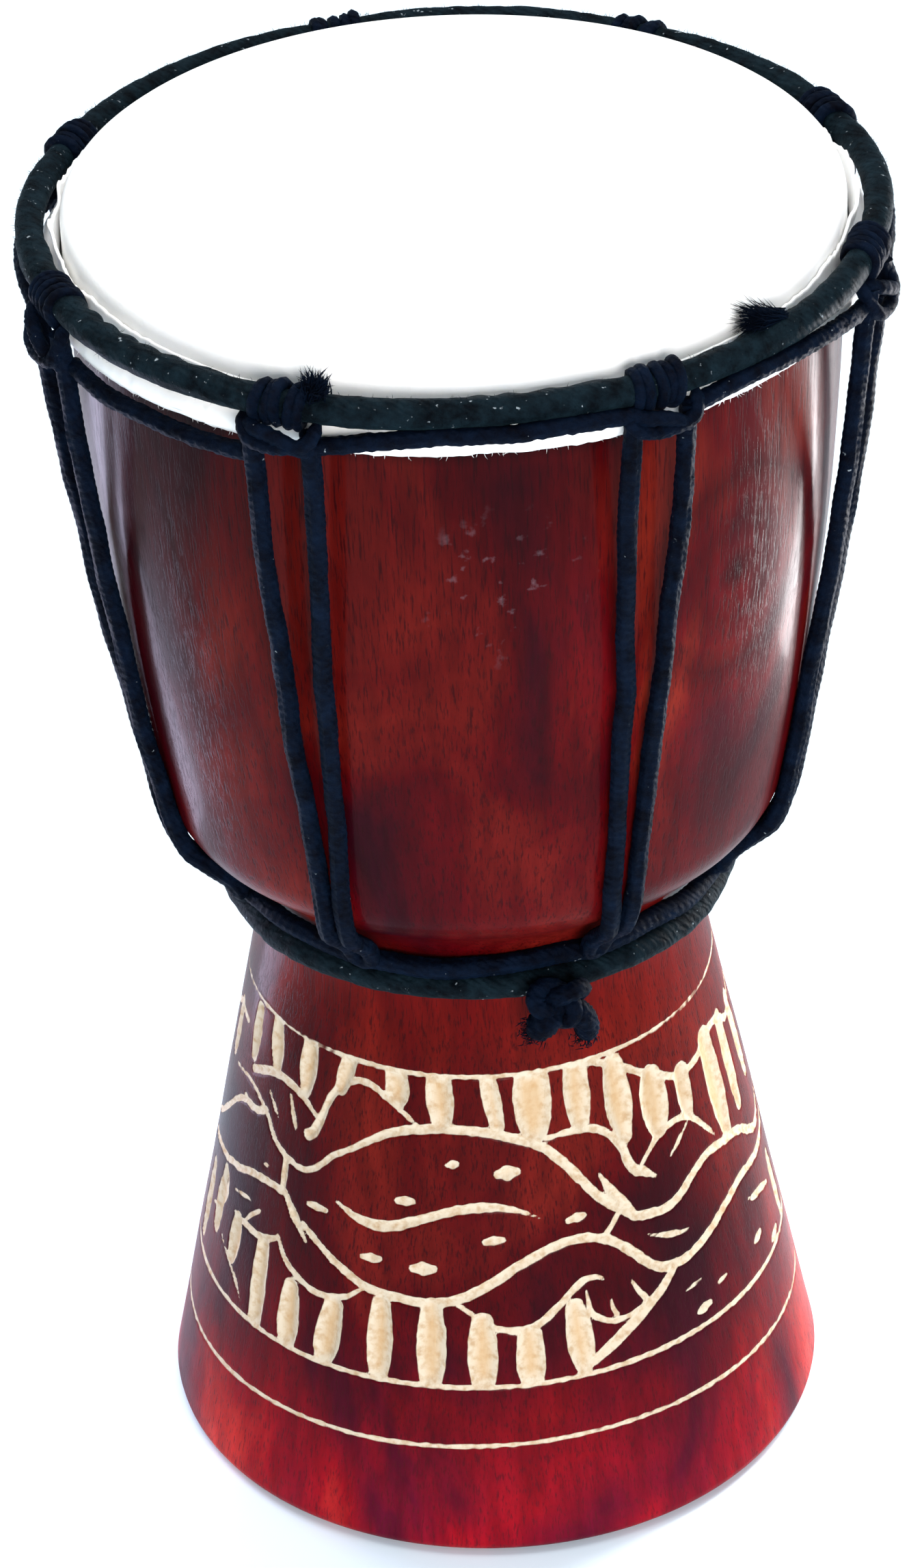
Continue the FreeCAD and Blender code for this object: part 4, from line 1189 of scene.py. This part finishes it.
    links.new(place_node.outputs["Object"], clouds.inputs["Vector"])
    links.new(clouds.outputs["Fac"], cloud_tone.inputs["Fac"])
    links.new(place_node.outputs["Object"], stain_gap.inputs[0])
    links.new(stain_gap.outputs["Value"], stain_near.inputs["Value"])
    links.new(stain_near.outputs["Result"], stain_mix.inputs["Factor"])
    links.new(cloud_tone.outputs["Color"], stain_mix.inputs["A"])
    links.new(place_node.outputs["Object"], grey.inputs["Vector"])
    links.new(grey.outputs["Fac"], grey_edge.inputs["Value"])
    links.new(place_node.outputs["Object"], parts.inputs["Vector"])
    links.new(parts.outputs["Z"], low_part.inputs["Value"])
    links.new(grey_edge.outputs["Result"], grey_share.inputs[0])
    links.new(low_part.outputs["Result"], grey_share.inputs[1])
    links.new(grey_share.outputs["Value"], grey_mix.inputs["Factor"])
    links.new(stain_mix.outputs["Result"], grey_mix.inputs["A"])
    links.new(place_node.outputs["Object"], hair_pores.inputs["Vector"])
    links.new(place_node.outputs["Object"], creases.inputs["Vector"])
    links.new(hair_pores.outputs["Distance"], relief.inputs[0])
    links.new(creases.outputs["Fac"], relief.inputs[2])
    links.new(relief.outputs["Value"], bump.inputs["Height"])
    links.new(grey_mix.outputs["Result"], shader.inputs["Base Color"])
    links.new(bump.outputs["Normal"], shader.inputs["Normal"])
    links.new(shader.outputs["BSDF"], output.inputs["Surface"])
    return finish


def black_fibre(name, dark, light, sheen, sheen_colour, fibre_size, glint_share):
    """Dyed fibre, for cord and cloth: two dark tones, fine fibres, soft sheen and pale specks that are
    painted glints; on the cloth the lighter tone also paints sheen.
    """
    finish = bpy.data.materials.new(name)
    finish.use_nodes = True
    nodes, links = finish.node_tree.nodes, finish.node_tree.links
    nodes.clear()
    dye_frame = nodes.new("NodeFrame")
    dye_frame.label = "uneven dye, on cloth also painted sheen"
    glint_frame = nodes.new("NodeFrame")
    glint_frame.label = "painted glints"
    fibre_frame = nodes.new("NodeFrame")
    fibre_frame.label = "fibres and sheen"
    place_node = nodes.new("ShaderNodeTexCoord")
    place_node.label = "place on the drum"
    dye = nodes.new("ShaderNodeTexNoise")
    dye.label = "uneven dye, on cloth also painted sheen"
    dye_tone = nodes.new("ShaderNodeValToRGB")
    dye_tone.label = "dark dye, on cloth with painted sheen"
    glint_noise = nodes.new("ShaderNodeTexNoise")
    glint_noise.label = "painted glint spots"
    glint_edge = nodes.new("ShaderNodeMapRange")
    glint_edge.label = "very few"
    glint_mix = nodes.new("ShaderNodeMix")
    glint_mix.label = "painted glints over the dye"
    fibres = nodes.new("ShaderNodeTexNoise")
    fibres.label = "fibres"
    thread = nodes.new("ShaderNodeTexWave")
    thread.label = "threads"
    relief = nodes.new("ShaderNodeMath")
    relief.label = "fibres on threads"
    bump = nodes.new("ShaderNodeBump")
    bump.label = "fibre relief"
    shader = nodes.new("ShaderNodeBsdfPrincipled")
    shader.label = "fibre"
    output = nodes.new("ShaderNodeOutputMaterial")
    output.label = name.replace("_", " ")
    set_out([
        (dye_frame, (place_node, dye, dye_tone)),
        (glint_frame, (glint_noise, glint_edge, glint_mix)),
        (fibre_frame, (fibres, thread, relief, bump, shader, output)),
    ])

    dye.inputs["Scale"].default_value = 330
    dye.inputs["Detail"].default_value = 8
    dye.inputs["Roughness"].default_value = 0.62
    # the lighter stop is uneven dye; on the binding cloth it is raised so that it also paints the cloth's
    # mottled sheen highlights
    dye_tone.color_ramp.elements[0].position = 0.36
    dye_tone.color_ramp.elements[0].color = (*dark, 1)
    dye_tone.color_ramp.elements[1].position = 0.7
    dye_tone.color_ramp.elements[1].color = (*light, 1)
    # pale grey-blue specks scattered over the fibre: painted glints, more of them on the cloth
    glint_noise.inputs["Scale"].default_value = 1100
    glint_noise.inputs["Detail"].default_value = 2
    glint_edge.inputs["From Min"].default_value = 0.76 - 0.06 * glint_share
    glint_edge.inputs["From Max"].default_value = 0.82 - 0.06 * glint_share
    glint_edge.inputs["To Max"].default_value = 0.6
    glint_mix.data_type = "RGBA"
    glint_mix.inputs["B"].default_value = (0.42, 0.48, 0.52, 1)
    fibres.inputs["Scale"].default_value = fibre_size
    fibres.inputs["Detail"].default_value = 6
    fibres.inputs["Roughness"].default_value = 0.7
    thread.wave_type = "BANDS"
    thread.bands_direction = "DIAGONAL"
    thread.inputs["Scale"].default_value = 380
    thread.inputs["Distortion"].default_value = 6
    relief.operation = "MULTIPLY_ADD"
    relief.inputs[1].default_value = 0.35
    bump.inputs["Strength"].default_value = 0.9
    bump.inputs["Distance"].default_value = 0.0004
    shader.inputs["Roughness"].default_value = 0.55
    shader.inputs["Specular IOR Level"].default_value = 0.03
    shader.inputs["Sheen Weight"].default_value = sheen
    shader.inputs["Sheen Roughness"].default_value = 0.4
    shader.inputs["Sheen Tint"].default_value = (*sheen_colour, 1)

    links.new(place_node.outputs["Object"], dye.inputs["Vector"])
    links.new(dye.outputs["Fac"], dye_tone.inputs["Fac"])
    links.new(place_node.outputs["Object"], glint_noise.inputs["Vector"])
    links.new(glint_noise.outputs["Fac"], glint_edge.inputs["Value"])
    links.new(glint_edge.outputs["Result"], glint_mix.inputs["Factor"])
    links.new(dye_tone.outputs["Color"], glint_mix.inputs["A"])
    links.new(place_node.outputs["Object"], fibres.inputs["Vector"])
    links.new(place_node.outputs["Object"], thread.inputs["Vector"])
    links.new(thread.outputs["Fac"], relief.inputs[0])
    links.new(fibres.outputs["Fac"], relief.inputs[2])
    links.new(relief.outputs["Value"], bump.inputs["Height"])
    links.new(glint_mix.outputs["Result"], shader.inputs["Base Color"])
    links.new(bump.outputs["Normal"], shader.inputs["Normal"])
    links.new(shader.outputs["BSDF"], output.inputs["Surface"])
    return finish


def ring_steel():
    """Bare steel wire with a little rust, seen only where the binding opens."""
    finish = bpy.data.materials.new("ring_steel")
    finish.use_nodes = True
    nodes, links = finish.node_tree.nodes, finish.node_tree.links
    nodes.clear()
    rust_frame = nodes.new("NodeFrame")
    rust_frame.label = "rust on steel"
    place_node = nodes.new("ShaderNodeTexCoord")
    place_node.label = "place on the drum"
    rust = nodes.new("ShaderNodeTexNoise")
    rust.label = "rust"
    rust_tone = nodes.new("ShaderNodeValToRGB")
    rust_tone.label = "steel to rust"
    rough = nodes.new("ShaderNodeMapRange")
    rough.label = "rougher where rusty"
    shader = nodes.new("ShaderNodeBsdfPrincipled")
    shader.label = "wire"
    output = nodes.new("ShaderNodeOutputMaterial")
    output.label = "ring wire"
    set_out([(rust_frame, (place_node, rust, rust_tone, rough, shader, output))])
    rust.inputs["Scale"].default_value = 300
    rust.inputs["Detail"].default_value = 6
    rust_tone.color_ramp.elements[0].position = 0.5
    rust_tone.color_ramp.elements[0].color = (0.36, 0.36, 0.37, 1)
    rust_tone.color_ramp.elements[1].position = 0.7
    rust_tone.color_ramp.elements[1].color = (0.16, 0.06, 0.02, 1)
    rough.inputs["To Min"].default_value = 0.3
    rough.inputs["To Max"].default_value = 0.8
    shader.inputs["Metallic"].default_value = 0.9
    links.new(place_node.outputs["Object"], rust.inputs["Vector"])
    links.new(rust.outputs["Fac"], rust_tone.inputs["Fac"])
    links.new(rust.outputs["Fac"], rough.inputs["Value"])
    links.new(rust_tone.outputs["Color"], shader.inputs["Base Color"])
    links.new(rough.outputs["Result"], shader.inputs["Roughness"])
    links.new(shader.outputs["BSDF"], output.inputs["Surface"])
    return finish


def pale_floor():
    """The floor: matt white paper."""
    finish = bpy.data.materials.new("pale_floor")
    finish.use_nodes = True
    nodes, links = finish.node_tree.nodes, finish.node_tree.links
    nodes.clear()
    paper_frame = nodes.new("NodeFrame")
    paper_frame.label = "paper"
    shader = nodes.new("ShaderNodeBsdfPrincipled")
    shader.label = "white paper"
    output = nodes.new("ShaderNodeOutputMaterial")
    output.label = "floor"
    set_out([(paper_frame, (shader, output))])

    shader.inputs["Base Color"].default_value = (0.80, 0.92, 1.0, 1)
    shader.inputs["Roughness"].default_value = 0.9
    shader.inputs["Specular IOR Level"].default_value = 0.1

    links.new(shader.outputs["BSDF"], output.inputs["Surface"])
    return finish


# ---------------------------------------------------------------- studio

# each lamp's name, place, the point it faces, width and height, power in watts and colour
LAMPS = (
    ("over_head", (0.0, 0.35, 1.5), (0, 0, 0.1), (1.5, 1.3), 27, (1.0, 0.99, 0.98)),
    ("front_fill", (0.30, -1.3, 0.48), (0, 0, 0.12), (0.8, 0.6), 19, (1.0, 0.97, 0.96)),
    ("right_reflector", (0.128, 0.055, 0.110), (0.0464, -0.0203, 0.110), (0.024, 0.120), 0.34,
     (1.0, 0.97, 0.98)),
    ("left_reflector", (-0.121, 0.059, 0.068), (-0.0460, -0.0211, 0.068), (0.044, 0.110), 0.15,
     (0.76, 0.72, 1.0)),
)


def studio():
    """A pale floor, a soft sky and soft lamps, with two low reflectors beside the drum."""
    reach = 3.0
    under_foot = -0.0002
    corners = [
        (-reach, -reach, under_foot),
        (reach, -reach, under_foot),
        (reach, reach, under_foot),
        (-reach, reach, under_foot),
    ]
    mesh = bpy.data.meshes.new("floor")
    mesh.from_pydata(corners, [], [(0, 1, 2, 3)])
    mesh.materials.append(pale_floor())
    floor = bpy.data.objects.new("floor", mesh)
    bpy.context.scene.collection.objects.link(floor)
    sky = bpy.data.worlds.new("sky")
    sky.use_nodes = True
    sky.node_tree.nodes["Background"].inputs["Color"].default_value = (0.78, 0.90, 1.0, 1)
    sky.node_tree.nodes["Background"].inputs["Strength"].default_value = 0.50
    bpy.context.scene.world = sky
    for name, at, aim, size, power, colour in LAMPS:
        lamp = bpy.data.lights.new(name, "AREA")
        lamp.shape = "RECTANGLE"
        lamp.size, lamp.size_y = size
        lamp.energy = power
        lamp.color = colour
        holder = bpy.data.objects.new(name, lamp)
        back = np.array(at, float) - np.array(aim, float)
        back /= np.linalg.norm(back)
        side = np.cross((0.0, 1.0, 0.0) if abs(back[2]) > 0.9 else (0.0, 0.0, 1.0), back)
        side /= np.linalg.norm(side)
        turned = Matrix(np.column_stack([side, np.cross(back, side), back]).tolist()).to_4x4()
        turned.translation = at
        holder.matrix_world = turned
        holder.visible_camera = False
        bpy.context.scene.collection.objects.link(holder)
    bpy.context.scene.view_settings.view_transform = "Standard"


# ---------------------------------------------------------------- the drum

def ring_fuzz(finish):
    """Short fibres standing off the crown ring's cloth, more of them on its upper and outer side."""
    draw = np.random.default_rng(501)
    count = 2600
    azimuth = draw.uniform(0, 360, count)
    tilt = draw.normal(1.1, 1.0, count)
    out = CROWN_RADIUS + CROWN_HALF * np.cos(tilt)
    rise = CROWN_HEIGHT + CROWN_HALF * np.sin(tilt)
    roots = place(out - 0.15 * np.cos(tilt), azimuth, rise - 0.15 * np.sin(tilt))
    tips = place(out + np.cos(tilt), azimuth, rise + np.sin(tilt))
    ways = (tips - roots) * 1000 + draw.normal(0, 0.7, (count, 3))
    lengths = 0.001 * draw.uniform(0.25, 0.85, count)
    whiskers("crown_ring_fuzz", roots, ways, lengths, 0.000035, 502, finish)


def skin_hairs(finish):
    """Pale hairs along the lower edge of the roll, pointing down and outwards."""
    draw = np.random.default_rng(511)
    count = 420
    azimuth = draw.uniform(0, 360, count)
    roots = place(55.3 + draw.uniform(-0.3, 0.5, count), azimuth, 188.75 + draw.uniform(0, 0.3, count))
    ways = place(np.full(count, 0.45), azimuth, np.full(count, -1.0)) * 1000
    ways = ways + draw.normal(0, 0.35, (count, 3))
    lengths = 0.001 * draw.uniform(0.3, 1.0, count)
    whiskers("skin_edge_hairs", roots, ways, lengths, 0.00004, 512, finish)


def knot(finish):
    """The knot of the neck cord, a closed overhand knot.

    Across the drum it goes by sin t + 2 sin 2t, up and down by cos t - 2 cos 2t, and in and out by
    -sin 3t, with t once round.
    """
    once_round = np.linspace(0, 2 * np.pi, 300, endpoint=False)
    across = 1.28 * (np.sin(once_round) + 2 * np.sin(2 * once_round))
    rise = 1.0 * (np.cos(once_round) - 2 * np.cos(2 * once_round))
    out = -1.15 * np.sin(3 * once_round)
    radius = NECK_CORD_RADIUS + 4.6 + out
    line = place(radius, KNOT_AZIMUTH + np.degrees(across / 40.0), 91.2 + rise)
    parts = [cord_skin(line, KNOT_HALF, 401, closed=True, sides=20)]
    joined_piece("overhand_knot", parts, finish, ["waist_knot"])


def waist_tails(finish):
    """The two short ends below the knot, each the last of the cord and its cut fibres."""
    left = followed("tail_left", [
        (40.4, 14.5, 90.2), (41.2, 12.6, 89.0), (40.8, 10.6, 87.8), (40.0, 8.9, 86.6),
    ])
    right = followed("tail_right", [
        (40.2, 17.0, 90.4), (40.8, 19.6, 88.6), (40.0, 20.6, 86.0), (39.4, 20.6, 83.6),
    ])
    left_end = [cord_skin(left, 2.0, 411, taper=1.8)]
    right_end = [cord_skin(right, 1.75, 412, taper=1.8)]
    joined_piece("tail_left", left_end, finish, ["waist_end_left"])
    joined_piece("tail_right", right_end, finish, ["waist_end_right"])
    tuft("tail_left_fibres", (40.2, 9.4, 87.0), (39.6, 7.6, 86.0), 160, 1.5, 1.5, 413, finish, ())
    tuft("tail_right_fibres", (39.5, 20.6, 84.2), (39.0, 20.9, 82.6), 150, 1.4, 1.4, 414, finish, ())


def crown_tails(finish):
    """The two cut ends at the crown ring: one stands up, the other lies in over the skin's edge."""
    tuft("upright_tuft", (57.0, -19.4, 197.2), (56.6, -19.2, 200.4), 420, 3.1, 1.1, 421, finish,
         ["crown_end_front"], width=0.00015)
    tuft("inward_tuft", (56.8, 47.2, 197.9), (53.9, 37.5, 197.9), 620, 7.4, 0.55, 422, finish,
         ["crown_end_right"], width=0.00011)


# heights of the six route points of the cord from each hitch to the next, one row a station
RUN_HEIGHTS = [
    (187.6, 187.4, 187.0, 186.8, 186.9, 187.6),
    (190.2, 191.6, 192.9, 193.4, 193.4, 193.0),
    (191.4, 192.8, 193.4, 192.6, 190.8, 189.4),
    (190.0, 190.4, 191.4, 192.6, 193.0, 192.6),
    (190.6, 191.0, 192.0, 192.8, 193.0, 192.4),
    (190.2, 190.6, 191.6, 192.6, 193.2, 192.8),
    (190.4, 190.8, 191.8, 192.6, 193.0, 192.4),
    (190.8, 191.2, 192.0, 192.4, 191.4, 190.0),
]


def drum():
    """Every piece of the drum."""
    wood = stained_wood()
    hide = goatskin_finish()
    # the last number of each finish is its share of painted glints
    cord = black_fibre("black_cord", (0.0007, 0.0009, 0.0030), (0.0022, 0.0065, 0.0180), 0.02,
                       (0.10, 0.35, 0.80), 1500, 0.2)
    # the cloth's lighter tone is raised to paint its mottled teal sheen highlights as well as uneven dye
    cloth = black_fibre("binding_cloth", (0.0005, 0.0014, 0.0028), (0.0060, 0.0150, 0.0215), 0.03,
                        (0.30, 0.60, 0.75), 1000, 1.0)
    steel = ring_steel()
    for name in ("flesh_hoop", "crown_ring_wire", "waist_ring_wire"):
        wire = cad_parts[name]
        for place_in_list in range(len(wire.data.materials)):
            wire.data.materials[place_in_list] = steel
    for number, (top, low) in enumerate(STATIONS, start=1):
        strands(number, top, low, LEANING_PAIRS.get(number, 0.0), cord)
        drop = SLACK_DROP if number in SLACK_HITCHES else TIGHT_DROP
        ring_hitch(number, top, drop, cord)
        ahead = STATIONS[number % len(STATIONS)][0]
        ahead = ahead if ahead > top else ahead + 360
        ring_run(number, top, ahead, RUN_HEIGHTS[number - 1], cord)
    waist_binding_cord(cord)
    knot(cord)
    waist_tails(cord)
    crown_tails(cord)
    pulls = [top for top, _ in STATIONS]
    bound_ring("crown_binding", CROWN_RADIUS, CROWN_HEIGHT, CROWN_HALF, 201, cloth,
               ["crown_ring_cloth"], pulls, 0.5)
    low_pulls = [low for _, low in STATIONS]
    bound_ring("waist_binding", WAIST_RADIUS, WAIST_HEIGHT, WAIST_HALF, 211, cloth,
               ["waist_ring_cloth"], low_pulls, 0.1)
    ring_fuzz(cloth)
    head = skin(hide)
    skin_hairs(hide)
    carved_shell(wood)


camera()
drum()
studio()
